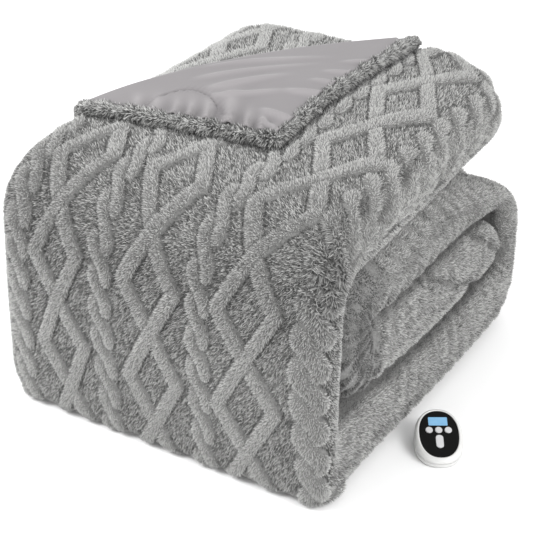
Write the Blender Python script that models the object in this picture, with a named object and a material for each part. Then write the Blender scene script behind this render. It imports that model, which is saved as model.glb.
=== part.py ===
"""Heated plush blanket, folded into a square stack, with its hand controller.

Metres, +Z up. The origin is on the floor, in the middle of the stack. The stack's broad
front face looks along -Y, its side folds along +X and -X, and its turned-down corner lies
on top. The controller stands on the floor beside the +X side.

The blanket is one closed body. Its folded layers are a section in Y and Z, a strip that
winds from the top layer down the front, back along the floor, up behind and in again, and
that section is carried across the stack in X with rounded side folds.
"""
import math
from collections import namedtuple

import bmesh
import bpy
import numpy as np
from mathutils import Matrix, Vector

# ---- the blanket's cut size, and how it is folded; the foot bulges out past the front
CUT_WIDTH = 2.13
PLIES_ACROSS = 4
HALF_WIDTH = CUT_WIDTH / PLIES_ACROSS / 2
FRONT_Y = -0.287
FOOT_Y = FRONT_Y - 0.008
LEFT_TRIM = 0.004

# ---- the raised pattern: columns of crossing bands, with a twisted rope between them
PITCH = 0.155
COLUMNS = (-1, 0, 1)
ROPES = (-1.5, -0.5, 0.5, 1.5)
COLUMN_SHIFT = -0.012
CROSSING_Z = 0.173
BAND_SWING = 0.034
BAND_HALF = 0.0095
BAND_SLOPE = 0.004
ROPE_HALF = 0.0145
ROPE_SWAY = 0.004
ROPE_WAVES = 3
RELIEF = 0.006
CROSSING_TOP = 0.003
CROSSING_FOOT = 0.001
ROWS_PER_PITCH = 6
ROW_MERGE = 0.3
LAST_ROW_CLEAR = 0.4

# ---- how the layers round off at their sides and ends
FLAT_LINES = 7
SIDE_LINES = 4
NOSE_LENGTH = 0.045
NOSE_TIP = 0.12
REAR_RIGHT_RADIUS = 0.15
REAR_LEFT_RADIUS = 0.05
CROWN_ACROSS = 0.005
UNEVEN = 0.0022
FLOOR_BAND = 0.05
INNER_ROUND = 0.6
SIDE_LIMIT = 0.8
FLAT_SHARE = 0.78
CROWN_FROM = 0.30
CROWN_RISE = 0.10
PATTERN_SIDE_LINES = 3
NOSE_ROWS = (0.0, 0.06, 0.25, 0.6)
RELIEF_FADE = 0.02

# ---- the corner of the top ply, turned down over the top
FOLD_LEFT = np.array((-0.242, -0.135))
FOLD_REAR = np.array((0.080, 0.284))
FOLD_BOW = 0.012
FLAP_TIP = np.array((0.078, -0.118))
PLY = 0.014
FLAP_GAP = 0.003
FLAP_DROOP = 0.020
FLAP_ROOT = 0.022
FLAP_LEVEL = 0.345
FOLD_CLEAR = 0.026
STEP_WIDTH = 0.012
STEP_AHEAD = 0.012
STEP_RISE = 0.030
MASK_SOFT = 0.010
HEM_ANGLE = math.sqrt(0.5)
HEM_EDGE = 0.010
HEM_TIP = 0.3
HEM_RISE = 0.008
HEM_LIMIT = 0.8
ROOT_THIN = 0.4
HEM_WIDTH = 0.012
HEM_EXTRA = 0.004
LINING_GAP = 0.0003
LINING_THICKNESS = 0.002
LINING_SHORTEST = 0.050
FLAP_ROLL = (PLY + FLAP_GAP) / 2.0
FLAP_SHORTEST = 0.008
FLAP_COLUMNS = (3, 8, 8, 3)
ROLL_STEPS = 6
LINING_FROM = 5
FLAP_STEPS = 4
HEM_STEPS = (0.82, 0.45, 0.2, 0.06, 0.0)

# ---- the hand controller
CONTROLLER_AT = (0.318, -0.087)
CONTROLLER_TURN = math.radians(31.7)
CONTROLLER_HALF_WIDTH = 0.033
CONTROLLER_HALF_LENGTH = 0.043
FRONT_HEIGHT = 0.013
FACE_SLOPE = math.radians(18.0)
PARTING = 0.52
FACE_HALF_WIDTH = 0.0268
FACE_HALF_LENGTH = 0.0388
RIM_LAND = 0.0012
POCKET_DEPTH = 0.0036
FASCIA_THICKNESS = 0.003
FIT_GAP = 0.0003
CUT_PAST = 0.001
KEY_GAP = 0.0004
KEY_TRAVEL = 0.0010
KEY_PROUD = 0.0014
KEY_BEVEL = 0.0010
BEVEL_STEPS = (0.0, 0.4, 0.8)
KEY_RADIUS = 0.0050
KEY_SPACING = 0.0130
KEY_ROW = 0.0065
KEY_NAMES = ("left", "middle", "right")
LONG_KEY_HALF = (0.0052, 0.0105)
LONG_KEY_Y = -0.0125
LONG_KEY_CORNER = 0.0047
DISPLAY_HALF = (0.0130, 0.0070)
DISPLAY_Y = 0.0215
DISPLAY_SUNK = 0.0004
DISPLAY_CORNER = 0.0012
GLAND_RADIUS = 0.0050
GLAND_HEIGHT = 0.0115
GLAND_DEPTH = 0.006
GLAND_PROUD = 0.004
OVAL_POWER = 2.25
OVAL_POINTS = 48
CIRCLE_POWER = 2.0
KEY_POINTS = 24
GLAND_POINTS = 20
CORNER_POINTS = 5
SMOOTH_ANGLE = math.radians(35.0)

# A ring of a shell's wall: its size next to the widest, and its share of the height up to
# the sloping face. A step of the rim's round: how far outside its land, and below the face.
WallRing = namedtuple("WallRing", "scale height")
BASE_WALL = (WallRing(0.90, 0.0), WallRing(0.965, 0.08), WallRing(0.995, 0.28))
COVER_WALL = (WallRing(1.0, PARTING), WallRing(0.997, 0.74), WallRing(0.985, 0.88))
RimStep = namedtuple("RimStep", "outside below")
RIM_ROUND = (RimStep(0.0022, 0.0012), RimStep(0.0008, 0.0002), RimStep(0.0, 0.0))

# The slow waves of the uneven stack: phase for each metre along X, Y and Z, and at 0.
Wave = namedtuple("Wave", "per_x per_y per_z start")
WAVE_X = Wave(0.0, 14.0, 9.0, 0.6)
WAVE_Y = Wave(13.0, 0.0, -7.0, 2.1)
WAVE_Z = Wave(11.0, 8.0, 0.0, 1.0)

# A corner of the folded strip's section: its outer and inner points and their radii, the
# half width and side rounding of the layers there, how far up the layer its side's
# furthest point lies, and the rows on the straight before it and round the corner. As far
# as the front foot the rows follow the pattern instead.
Corner = namedtuple(
    "Corner", "name out_y out_z out_r in_y in_z in_r half side waist run arc")
SECTION = (
    Corner("rear end of the top", 0.318, 0.422, 0.0, 0.318, 0.352, 0.0, 0.266, 0.080, 0.30, 0, 0),
    Corner("crown of the top", 0.020, 0.414, 0.45, 0.020, 0.330, 0.30, 0.270, 0.085, 0.25, 0, 0),
    Corner("brow", FRONT_Y, 0.378, 0.110, -0.253, 0.308, 0.020, 0.266, 0.050, 0.35, 0, 0),
    Corner("front foot", FOOT_Y, 0.000, 0.036, -0.253, 0.100, 0.016, 0.266, 0.035, 0.50, 0, 0),
    Corner("rear foot", 0.322, 0.000, 0.072, 0.246, 0.100, 0.020, 0.268, 0.045, 0.50, 10, 6),
    Corner("rear shoulder", 0.304, 0.240, 0.105, 0.246, 0.220, 0.020, 0.270, 0.045, 0.50, 2, 6),
    Corner("under the top", 0.055, 0.322, 0.200, 0.118, 0.214, 1.000, 0.260, 0.045, 0.45, 3, 3),
    Corner("inner bend, top", -0.245, 0.302, 0.060, -0.155, 0.214, 0.003, 0.252, 0.040, 0.45, 5, 5),
    Corner("inner bend, foot", -0.245, 0.106, 0.085, -0.155, 0.209, 0.002, 0.256, 0.040, 0.50, 1, 5),
    Corner("core", 0.100, 0.106, 0.00, 0.106, 0.209, 0.060, 0.260, 0.040, 0.50, 5, 2),
    Corner("core end", 0.238, 0.106, 0.0, 0.238, 0.203, 0.0, 0.260, 0.035, 0.50, 4, 0),
)
BROW = 2
FOOT = 3
ARC_SHARE = 0.25
FINE = 12


# ------------------------------------------------------------------ small helpers
def material(name, rgb, roughness, metallic=0.0):
    """A Principled material of one colour."""
    made = bpy.data.materials.new(name)
    made.use_nodes = True
    shader = made.node_tree.nodes["Principled BSDF"]
    shader.inputs["Base Color"].default_value = (*rgb, 1.0)
    shader.inputs["Roughness"].default_value = roughness
    shader.inputs["Metallic"].default_value = metallic
    made.diffuse_color = (*rgb, 1.0)
    return made


def mesh_object(name, points, faces, look, smooth_angle=None):
    """An object of the given points and faces, closed, its faces turned outwards."""
    mesh = bpy.data.meshes.new(name)
    mesh.from_pydata([tuple(map(float, point)) for point in points], [], faces)
    work = bmesh.new()
    work.from_mesh(mesh)
    bmesh.ops.remove_doubles(work, verts=work.verts, dist=1e-6)
    bmesh.ops.recalc_face_normals(work, faces=work.faces)
    work.to_mesh(mesh)
    work.free()
    mesh.materials.append(look)
    if smooth_angle is not None:
        mesh.shade_smooth()
        mesh.set_sharp_from_angle(angle=smooth_angle)
    made = bpy.data.objects.new(name, mesh)
    bpy.context.collection.objects.link(made)
    return made


def smooth_step(value):
    """0 below 0, 1 above 1, and a smooth rise between them."""
    value = np.clip(value, 0.0, 1.0)
    return value * value * (3.0 - 2.0 * value)


def zip_rows(row_a, row_b, at_a, at_b):
    """Triangles between two rows of point numbers, stepping along the row that lags."""
    faces = []
    a = 0
    b = 0
    while a < len(row_a) - 1 or b < len(row_b) - 1:
        step_a = b == len(row_b) - 1
        if not step_a and a < len(row_a) - 1:
            step_a = at_a[a + 1] <= at_b[b + 1]
        if step_a:
            faces.append((row_a[a], row_a[a + 1], row_b[b]))
            a += 1
        else:
            faces.append((row_a[a], row_b[b + 1], row_b[b]))
            b += 1
    return faces


def quad_rows(row_a, row_b):
    """Quads between two rows of as many point numbers."""
    return [(row_a[i], row_a[i + 1], row_b[i + 1], row_b[i]) for i in range(len(row_a) - 1)]


def split_rows(row_a, row_b, turned):
    """Triangles between two rows, each square cut from row a's start to row b's end."""
    faces = []
    for i in range(len(row_a) - 1):
        pair = [(row_a[i], row_a[i + 1], row_b[i + 1]), (row_a[i], row_b[i + 1], row_b[i])]
        faces += [face[::-1] for face in pair] if turned else pair
    return faces


# ------------------------------------------------------------------ the section in Y and Z
def corner_arc(before, at, after, radius, steps):
    """Points of the round of one corner, or the corner itself where its radius is 0."""
    if radius == 0.0:
        return np.array([at] * (steps + 1))
    to_before = (before - at) / np.linalg.norm(before - at)
    to_after = (after - at) / np.linalg.norm(after - at)
    half_angle = math.acos(float(np.clip(to_before @ to_after, -1.0, 1.0))) / 2.0
    middle = (to_before + to_after) / np.linalg.norm(to_before + to_after)
    centre = at + middle * radius / math.sin(half_angle)
    start = at + to_before * radius / math.tan(half_angle) - centre
    end = at + to_after * radius / math.tan(half_angle) - centre
    first = math.atan2(start[1], start[0])
    turn = (math.atan2(end[1], end[0]) - first + math.pi) % (2.0 * math.pi) - math.pi
    angles = first + turn * np.linspace(0.0, 1.0, steps + 1)
    return centre + radius * np.stack((np.cos(angles), np.sin(angles)), axis=1)


def side_line(points, radii):
    """One side of the strip: FINE steps on each straight, then FINE round each corner."""
    pieces = [points[:1]]
    last = len(points) - 1
    part = np.linspace(0.0, 1.0, FINE + 1)[1:, None]
    for i in range(1, last + 1):
        arc = points[last:]
        if i < last:
            arc = corner_arc(points[i - 1], points[i], points[i + 1], radii[i], FINE)
        start = pieces[-1][-1]
        pieces.append(start + (arc[0] - start) * part)
        pieces.append(arc[1:])
    return np.vstack(pieces)


def corner_spans(last):
    """Travel, counted in corners, at the ends of each straight and each round."""
    spans = [0.0]
    for i in range(1, last):
        spans += [i - ARC_SHARE, i + ARC_SHARE]
    return np.array(spans + [float(last)])


LAST = len(SECTION) - 1
OUTER = side_line(np.array([(c.out_y, c.out_z) for c in SECTION]), [c.out_r for c in SECTION])
INNER = side_line(np.array([(c.in_y, c.in_z) for c in SECTION]), [c.in_r for c in SECTION])
SPANS = corner_spans(LAST)
TRAVEL = np.interp(np.arange(len(OUTER)) / FINE, np.arange(len(SPANS)), SPANS)
RUN_LENGTH = np.concatenate(
    ([0.0], np.cumsum(np.linalg.norm(np.diff(OUTER, axis=0), axis=1))))


def along(travel, line):
    """The point of a fine line at a travel."""
    return np.stack([np.interp(travel, TRAVEL, line[:, i]) for i in (0, 1)], axis=-1)


def corner_value(travel, name):
    """A value of the table at a travel: held round each corner, blended between corners."""
    values = [getattr(corner, name) for corner in SECTION]
    held = [values[0]]
    for value in values[1:-1]:
        held += [value, value]
    return np.interp(travel, SPANS, held + [values[-1]])


def length_at(travel):
    """Distance along the outer line, from the rear end of the top."""
    return np.interp(travel, TRAVEL, RUN_LENGTH)


def crossing_length():
    """Distance along the outer line to the crossing of the bands on the front face."""
    front = (TRAVEL > BROW + ARC_SHARE) & (TRAVEL < FOOT - ARC_SHARE)
    return float(np.interp(-CROSSING_Z, -OUTER[front][:, 1], RUN_LENGTH[front]))


# ------------------------------------------------------------------ the surface of the stack
def end_opening(travel):
    """How far the layer is open, from the tip of a rounded end to full thickness."""
    length = length_at(travel)
    near = np.minimum(length, RUN_LENGTH[-1] - length) / NOSE_LENGTH
    near = np.clip(near, 0.0, 1.0)
    return NOSE_TIP + (1.0 - NOSE_TIP) * np.sqrt(1.0 - (1.0 - near) ** 2)


def half_width(travel, sign):
    """Half width towards +X or -X, drawn in round the rear corners of the top."""
    radius = np.where(sign > 0, REAR_RIGHT_RADIUS, REAR_LEFT_RADIUS)
    short = np.clip(1.0 - length_at(travel) / radius, 0.0, 1.0)
    full = corner_value(travel, "half") - np.where(sign > 0, 0.0, LEFT_TRIM)
    return full - radius * (1.0 - np.sqrt(1.0 - short ** 2))


def side_round(travel, sign):
    """Radius in X of the rounded side."""
    return np.minimum(corner_value(travel, "side"), SIDE_LIMIT * half_width(travel, sign))


def quarter_length(travel, sign):
    """Length of the rounded side, from the flat down to its furthest point."""
    thick = np.linalg.norm(along(travel, OUTER) - along(travel, INNER), axis=-1)
    rise = (1.0 - corner_value(travel, "waist")) * thick
    return math.pi / 2.0 * np.sqrt((side_round(travel, sign) ** 2 + rise ** 2) / 2.0)


def widest(travel, sign):
    """The distance across, over the outer surface, at which a side's furthest point lies."""
    flat = half_width(travel, sign) - side_round(travel, sign)
    squeeze = corner_value(travel, "half") / half_width(travel, sign)
    return (flat + quarter_length(travel, sign)) * squeeze


def surface(travel, x, away, cosine):
    """Points between the waist of the layer and one of its faces, at a height cosine."""
    outer = along(travel, OUTER)
    inner = along(travel, INNER)
    waist = inner + corner_value(travel, "waist")[..., None] * (outer - inner)
    face = outer if away > 0 else inner
    flat = waist + (face - waist) * (cosine * end_opening(travel))[..., None]
    return np.concatenate((x[..., None], flat), axis=-1)


def outer_surface(travel, across):
    """The outer face: flat in the middle, a quarter of an ellipse down to each side."""
    sign = np.where(across > 0, 1.0, -1.0)
    width = half_width(travel, sign)
    placed = np.abs(across) * width / corner_value(travel, "half")
    flat = width - side_round(travel, sign)
    quarter = quarter_length(travel, sign)
    angle = np.clip((placed - flat) / quarter, 0.0, 1.0) * math.pi / 2.0
    x = sign * (np.minimum(placed, flat) + side_round(travel, sign) * np.sin(angle))
    points = surface(travel, x, 1, np.cos(angle))
    out = along(travel, OUTER) - along(travel, INNER)
    out = out / np.linalg.norm(out, axis=-1)[..., None] * np.cos(angle)[..., None]
    normal = np.concatenate(((sign * np.sin(angle))[..., None], out), axis=-1)
    raised = relief(length_at(travel), across) * relief_mask(points, travel)
    return settle(points + normal * raised[..., None])


def inner_surface(travel, across):
    """The inner face: across runs -1 to 1 over its flat, and to -2 and 2 at its sides."""
    sign = np.where(across > 0, 1.0, -1.0)
    width = half_width(travel, sign)
    radius = side_round(travel, sign) * INNER_ROUND
    angle = np.clip(np.abs(across) - 1.0, 0.0, 1.0) * math.pi / 2.0
    flat = np.minimum(np.abs(across), 1.0) * (width - radius)
    x = sign * (flat + radius * np.sin(angle))
    return settle(surface(travel, x, -1, np.cos(angle)))


# ------------------------------------------------------------------ the raised pattern
def swing(length):
    """0 where the bands cross and 1 where they lie furthest apart, straight between."""
    phase = (length - crossing_length()) / PITCH
    return 2.0 * np.abs(phase - np.round(phase))


def sway(length):
    """The rope's wave from side to side."""
    phase = ROPE_WAVES * (length - crossing_length()) / PITCH
    return ROPE_SWAY * (4.0 * np.abs(phase - np.round(phase)) - 1.0)


def plateau(distance, half, slope):
    """1 within half a width of a line, falling straight to 0 over the slope."""
    return np.clip((half + slope - np.abs(distance)) / slope, 0.0, 1.0)


def relief(length, across):
    """Height of the bands and the ropes over the cloth."""
    height = np.zeros(np.broadcast(length, across).shape)
    for column in COLUMNS:
        off = across - COLUMN_SHIFT - column * PITCH
        for side in (-1.0, 1.0):
            band = plateau(off - side * BAND_SWING * swing(length), BAND_HALF, BAND_SLOPE)
            height = np.maximum(height, band)
    for column in ROPES:
        off = across - COLUMN_SHIFT - column * PITCH
        height = np.maximum(height, plateau(off - sway(length), ROPE_HALF, BAND_SLOPE))
    return RELIEF * height


def relief_mask(points, travel):
    """Where the pattern shows: on the top and the front, but not under the turned corner."""
    along_fold, from_fold = fold_coordinates(points[..., 0], points[..., 1])
    hidden = smooth_step((from_fold + FOLD_CLEAR) / MASK_SOFT)
    hidden = hidden * smooth_step((flap_reach(along_fold) + MASK_SOFT - from_fold) / MASK_SOFT)
    hidden = hidden * (points[..., 2] > FLAP_LEVEL)
    shown = (1.0 - hidden) * (travel < FOOT + ARC_SHARE)
    return shown * smooth_step(points[..., 2] / RELIEF_FADE) * smooth_step(
        length_at(travel) / NOSE_LENGTH)


def relief_lines(length):
    """The lines across the cloth that follow the edges of the bands and the ropes."""
    lines = []
    for column in COLUMNS:
        apart = BAND_SWING * swing(length)
        half = [apart + BAND_HALF + BAND_SLOPE,
                apart + BAND_HALF,
                max(apart - BAND_HALF, CROSSING_TOP),
                max(apart - BAND_HALF - BAND_SLOPE, CROSSING_FOOT)]
        centre = COLUMN_SHIFT + column * PITCH
        lines += [centre - offset for offset in half] + [centre + offset for offset in half]
    for column in ROPES:
        centre = COLUMN_SHIFT + column * PITCH + sway(length)
        for offset in (ROPE_HALF, ROPE_HALF + BAND_SLOPE):
            lines += [centre - offset, centre + offset]
    return sorted(float(line) for line in lines)


# ------------------------------------------------------------------ how the stack settles
def fold_coordinates(x, y):
    """Share of the way along the fold of the turned corner, and distance in front of it."""
    chord = FOLD_REAR - FOLD_LEFT
    reach = np.linalg.norm(chord)
    line = chord / reach
    share = ((x - FOLD_LEFT[0]) * line[0] + (y - FOLD_LEFT[1]) * line[1]) / reach
    front = (x - FOLD_LEFT[0]) * line[1] - (y - FOLD_LEFT[1]) * line[0]
    inside = np.clip(share, 0.0, 1.0)
    return share, front + FOLD_BOW * 4.0 * inside * (1.0 - inside)


def wave(shape, x, y, z):
    """One of the slow waves at the given points."""
    return UNEVEN * np.sin(shape.per_x * x + shape.per_y * y + shape.per_z * z + shape.start)


def settle(points):
    """Crown across the top, the step of one ply behind the fold, and a slight unevenness."""
    x = points[..., 0]
    y = points[..., 1]
    z = points[..., 2]
    upper = smooth_step((z - CROWN_FROM) / CROWN_RISE)
    behind = smooth_step((STEP_AHEAD - fold_coordinates(x, y)[1]) / STEP_WIDTH)
    drop = CROWN_ACROSS * (x / HALF_WIDTH) ** 2 * upper
    drop = drop + PLY * behind * smooth_step((z - FLAP_LEVEL) / STEP_RISE)
    lift = smooth_step(z / FLOOR_BAND)
    shift_x, shift_y, shift_z = (wave(shape, x, y, z) * lift for shape in (WAVE_X, WAVE_Y, WAVE_Z))
    return np.stack((x + shift_x, y + shift_y, z - drop + shift_z), axis=-1)


def top_height(x, y):
    """Height of the top's plain surface, its drop at the sides limited, for the corner."""
    top = TRAVEL < BROW + ARC_SHARE
    order = np.argsort(OUTER[top][:, 0])
    height = np.interp(y, OUTER[top][order, 0], OUTER[top][order, 1])
    over = np.clip((np.abs(x) - HALF_WIDTH + SECTION[1].side) / SECTION[1].side, 0.0, 1.0)
    height = height - FLAP_DROOP * over ** 2
    height = height - CROWN_ACROSS * (x / HALF_WIDTH) ** 2
    return height + wave(WAVE_Z, x, y, height)


# ------------------------------------------------------------------ the blanket's own mesh
def patterned_rows():
    """Travel of the rows over the top and the front, on the crossings of the pattern."""
    step = PITCH / ROWS_PER_PITCH
    start = crossing_length() % step
    end = float(length_at(FOOT + ARC_SHARE))
    lengths = [share * NOSE_LENGTH for share in NOSE_ROWS]
    lengths += [start + k * step for k in range(int((end - start) / step) + 1)]
    lengths = sorted(length for length in lengths if length < end - LAST_ROW_CLEAR * step)
    kept = [lengths[0]]
    for length in lengths[1:]:
        if length - kept[-1] > ROW_MERGE * step or length < NOSE_LENGTH:
            kept.append(length)
    return list(np.interp(kept, RUN_LENGTH, TRAVEL)) + [FOOT + ARC_SHARE]


def plain_rows():
    """Travel of the rows from the front foot to the end in the core of the stack."""
    rows = []
    for i in range(FOOT + 1, LAST + 1):
        start = i - 1 + ARC_SHARE
        end = float(i) if i == LAST else i - ARC_SHARE
        rows += list(np.linspace(start, end, SECTION[i].run + 1)[1:])
        if i < LAST:
            rows += list(np.linspace(i - ARC_SHARE, i + ARC_SHARE, SECTION[i].arc + 1)[1:])
    tip = [RUN_LENGTH[-1] - share * NOSE_LENGTH for share in NOSE_ROWS]
    rows = [row for row in rows if length_at(row) < RUN_LENGTH[-1] - NOSE_LENGTH]
    return rows + sorted(np.interp(tip, RUN_LENGTH, TRAVEL))


def outer_lines(travel, patterned):
    """Places of the lines over the outer face, from the left waist to the right."""
    left = float(widest(np.array(travel), np.array(-1.0)))
    right = float(widest(np.array(travel), np.array(1.0)))
    if patterned:
        lines = relief_lines(float(length_at(travel)))
        sides = PATTERN_SIDE_LINES
    else:
        flat = float(half_width(np.array(travel), np.array(1.0)) * FLAT_SHARE)
        lines = list(np.linspace(-flat, flat, FLAT_LINES))
        sides = SIDE_LINES
    steps = np.linspace(0.0, 1.0, sides + 1)[1:]
    first = [lines[0] + (-left - lines[0]) * step for step in steps[::-1]]
    last = [lines[-1] + (right - lines[-1]) * step for step in steps]
    return np.array(first + lines + last)


def blanket_mesh():
    """The folded strip as one closed body: its outer face, its inner face and two ends."""
    patterned = patterned_rows()
    rows = patterned + plain_rows()
    inner_at = np.concatenate((-2.0 + np.linspace(0.0, 1.0, SIDE_LINES)[:-1],
                               np.linspace(-1.0, 1.0, FLAT_LINES),
                               2.0 - np.linspace(0.0, 1.0, SIDE_LINES)[:-1][::-1]))
    points = []
    outer_rows = []
    inner_rows = []
    shares = []
    for number, travel in enumerate(rows):
        lines = outer_lines(travel, number < len(patterned))
        outer_rows.append(list(range(len(points), len(points) + len(lines))))
        points.extend(outer_surface(np.full(len(lines), travel), lines))
        inner_rows.append(list(range(len(points), len(points) + len(inner_at))))
        points.extend(inner_surface(np.full(len(inner_at), travel), inner_at))
        shares.append((lines - lines[0]) / (lines[-1] - lines[0]))
    faces = []
    for k in range(len(rows) - 1):
        if len(outer_rows[k]) == len(outer_rows[k + 1]):
            faces += quad_rows(outer_rows[k], outer_rows[k + 1])
        else:
            faces += zip_rows(outer_rows[k], outer_rows[k + 1], shares[k], shares[k + 1])
        faces += quad_rows(inner_rows[k + 1], inner_rows[k])
    inner_share = (inner_at - inner_at[0]) / (inner_at[-1] - inner_at[0])
    faces += zip_rows(inner_rows[0], outer_rows[0], inner_share, shares[0])
    faces += zip_rows(outer_rows[-1], inner_rows[-1], shares[-1], inner_share)
    return points, faces


# ------------------------------------------------------------------ the turned-down corner
def flap_reach(share):
    """How far the corner lies in front of its fold, at a share of the way along the fold."""
    tip_share, depth = fold_coordinates(*FLAP_TIP)
    return depth * np.clip(np.minimum(share / tip_share, (1.0 - share) / (1.0 - tip_share)),
                           0.0, 1.0)


def flap_middle(share, over):
    """Middle of the turned ply and its outward normal.

    over is the distance across the cloth from where it leaves the top: below 0 it lies in
    the top, then it rolls back half a turn, and beyond that it lies over the top.
    """
    chord = FOLD_REAR - FOLD_LEFT
    line = chord / np.linalg.norm(chord)
    front = np.array((line[1], -line[0]))
    turn = np.clip(over / FLAP_ROLL, 0.0, math.pi)
    ahead = np.abs(over - turn * FLAP_ROLL) - FLAP_ROLL * np.sin(turn)
    bow = FOLD_BOW * 4.0 * share * (1.0 - share)
    plan = FOLD_LEFT + share[..., None] * chord + (ahead - bow)[..., None] * front
    height = top_height(plan[..., 0], plan[..., 1]) - PLY / 2.0
    height = height + FLAP_ROLL * (1.0 - np.cos(turn))
    normal = np.concatenate((-np.sin(turn)[..., None] * front, -np.cos(turn)[..., None]), axis=-1)
    return np.concatenate((plan, height[..., None]), axis=-1), normal


def flap_edge(share, over):
    """Distance from the corner's free edges, over the cloth."""
    return (math.pi * FLAP_ROLL + flap_reach(share) - over) * HEM_ANGLE


def flap_side(share, over, out, extra=0.0):
    """The lining side (out 1) or the pile side (out -1) of the turned ply."""
    middle, normal = flap_middle(share, over)
    edge = flap_edge(share, over)
    near = np.clip(edge / HEM_EDGE, 0.0, 1.0)
    round_off = HEM_TIP + (1.0 - HEM_TIP) * np.sqrt(1.0 - (1.0 - near) ** 2)
    thick = PLY / 2.0
    if out > 0:
        thick = thick + HEM_EXTRA * smooth_step((HEM_WIDTH - edge) / HEM_RISE)
    root = 1.0 - ROOT_THIN * (1.0 - smooth_step(over / FLAP_ROLL))
    return middle + normal * (out * thick * round_off * root + extra)[..., None]


def flap_grid():
    """The lines of the corner's cloth: shares along the fold, and distances across it."""
    shares = corner_shares()[:, None]
    roll = math.pi * FLAP_ROLL
    reach = np.maximum(flap_reach(shares), FLAP_SHORTEST)
    hem = np.minimum(HEM_WIDTH / HEM_ANGLE, HEM_LIMIT * reach)
    over = [np.full_like(shares, place) for place in (-FLAP_ROOT, -FLAP_ROOT / 2.0)]
    over += [np.full_like(shares, roll * step) for step in np.linspace(0.0, 1.0, ROLL_STEPS + 1)]
    over += [roll + (reach - hem) * step for step in np.linspace(0.0, 1.0, FLAP_STEPS + 1)[1:]]
    over += [roll + reach - hem * step for step in HEM_STEPS]
    over = np.concatenate(over, axis=1)
    return np.broadcast_to(shares, over.shape), over


def slab(upper, lower):
    """Points and faces of a closed slab between two grids of points."""
    rows, columns = upper.shape[:2]
    points = list(upper.reshape(-1, 3)) + list(lower.reshape(-1, 3))
    number = np.arange(rows * columns).reshape(rows, columns)
    below = number + rows * columns
    faces = []
    for i in range(rows - 1):
        faces += split_rows(list(number[i]), list(number[i + 1]), False)
        faces += split_rows(list(below[i]), list(below[i + 1]), True)
    faces += quad_rows(list(below[0]), list(number[0]))
    faces += quad_rows(list(number[-1]), list(below[-1]))
    faces += quad_rows(list(number[:, 0]), list(below[:, 0]))
    faces += quad_rows(list(below[:, -1]), list(number[:, -1]))
    return points, faces


def corner_shares():
    """Shares along the fold: even between the ends, the lining's ends and the tip."""
    tip, depth = fold_coordinates(*FLAP_TIP)
    bare = LINING_SHORTEST / depth
    knots = (0.0, bare * tip, tip, 1.0 - bare * (1.0 - tip), 1.0)
    shares = [np.linspace(knots[i], knots[i + 1], count + 1)[:-1]
              for i, count in enumerate(FLAP_COLUMNS)]
    return np.concatenate(shares + [[1.0]])


def turned_corner_mesh():
    """The turned ply, from its root inside the top to the free edges of its hem."""
    share, over = flap_grid()
    return slab(flap_side(share, over, 1), flap_side(share, over, -1))


def lining_mesh():
    """The smooth backing, over the roll of the fold and the turned corner to its hem."""
    share, over = flap_grid()
    along_fold = slice(FLAP_COLUMNS[0], -FLAP_COLUMNS[-1])
    across = slice(LINING_FROM, -len(HEM_STEPS))
    share = share[along_fold, across]
    over = over[along_fold, across]
    inside = flap_side(share, over, 1, LINING_GAP)
    outside = flap_side(share, over, 1, LINING_GAP + LINING_THICKNESS)
    return slab(outside, inside)


def build_blanket():
    """The plush blanket with its turned-down corner, and the backing that shows on it."""
    plush = material("plush", (0.36, 0.36, 0.35), 0.95)
    lining = material("lining", (0.42, 0.40, 0.41), 0.80)
    blanket = mesh_object("blanket", *blanket_mesh(), plush)
    corner = mesh_object("turned_corner", *turned_corner_mesh(), plush)
    corner.hide_render = True
    corner.display_type = "WIRE"
    union = blanket.modifiers.new("turned corner", "BOOLEAN")
    union.operation = "UNION"
    union.object = corner
    mesh_object("lining", *lining_mesh(), lining)


# ------------------------------------------------------------------ the controller's shapes
def oval(half_x, half_y, points=OVAL_POINTS, power=OVAL_POWER):
    """A rounded oval outline as rows of x and y, anticlockwise from +X."""
    angle = 2.0 * math.pi * np.arange(points) / points
    cosine = np.cos(angle)
    sine = np.sin(angle)
    x = half_x * np.sign(cosine) * np.abs(cosine) ** (2.0 / power)
    y = half_y * np.sign(sine) * np.abs(sine) ** (2.0 / power)
    return np.stack((x, y), axis=1)


def circle(radius):
    """The outline of a round key."""
    return oval(radius, radius, KEY_POINTS, CIRCLE_POWER)


def rounded_box(half_x, half_y, radius):
    """A box outline with round corners, anticlockwise."""
    points = []
    for quarter, (sign_x, sign_y) in enumerate(((1, 1), (-1, 1), (-1, -1), (1, -1))):
        for step in np.linspace(0.0, 1.0, CORNER_POINTS):
            angle = (quarter + step) * math.pi / 2.0
            points.append((sign_x * (half_x - radius) + radius * math.cos(angle),
                           sign_y * (half_y - radius) + radius * math.sin(angle)))
    return np.array(points)


def loft(rings):
    """Points and faces of a closed body through rings of equal count, with flat ends."""
    count = len(rings[0])
    points = [point for ring in rings for point in ring]
    faces = [tuple(reversed(range(count)))]
    for k in range(len(rings) - 1):
        low = k * count
        high = low + count
        for i in range(count):
            after = (i + 1) % count
            faces.append((low + i, low + after, high + after, high + i))
    faces.append(tuple(range(high, high + count)))
    return points, faces


def controller_frame():
    """The controller's own frame: X to its right, Y to its back, on the floor."""
    return Matrix.Translation((*CONTROLLER_AT, 0.0)) @ Matrix.Rotation(CONTROLLER_TURN, 4, "Z")


def face_frame():
    """The sloping face's frame: its middle, X right, Y up the slope, Z out of the face."""
    middle = FRONT_HEIGHT + CONTROLLER_HALF_LENGTH * math.tan(FACE_SLOPE)
    tilt = Matrix.Translation((0.0, 0.0, middle)) @ Matrix.Rotation(FACE_SLOPE, 4, "X")
    return controller_frame() @ tilt


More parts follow.
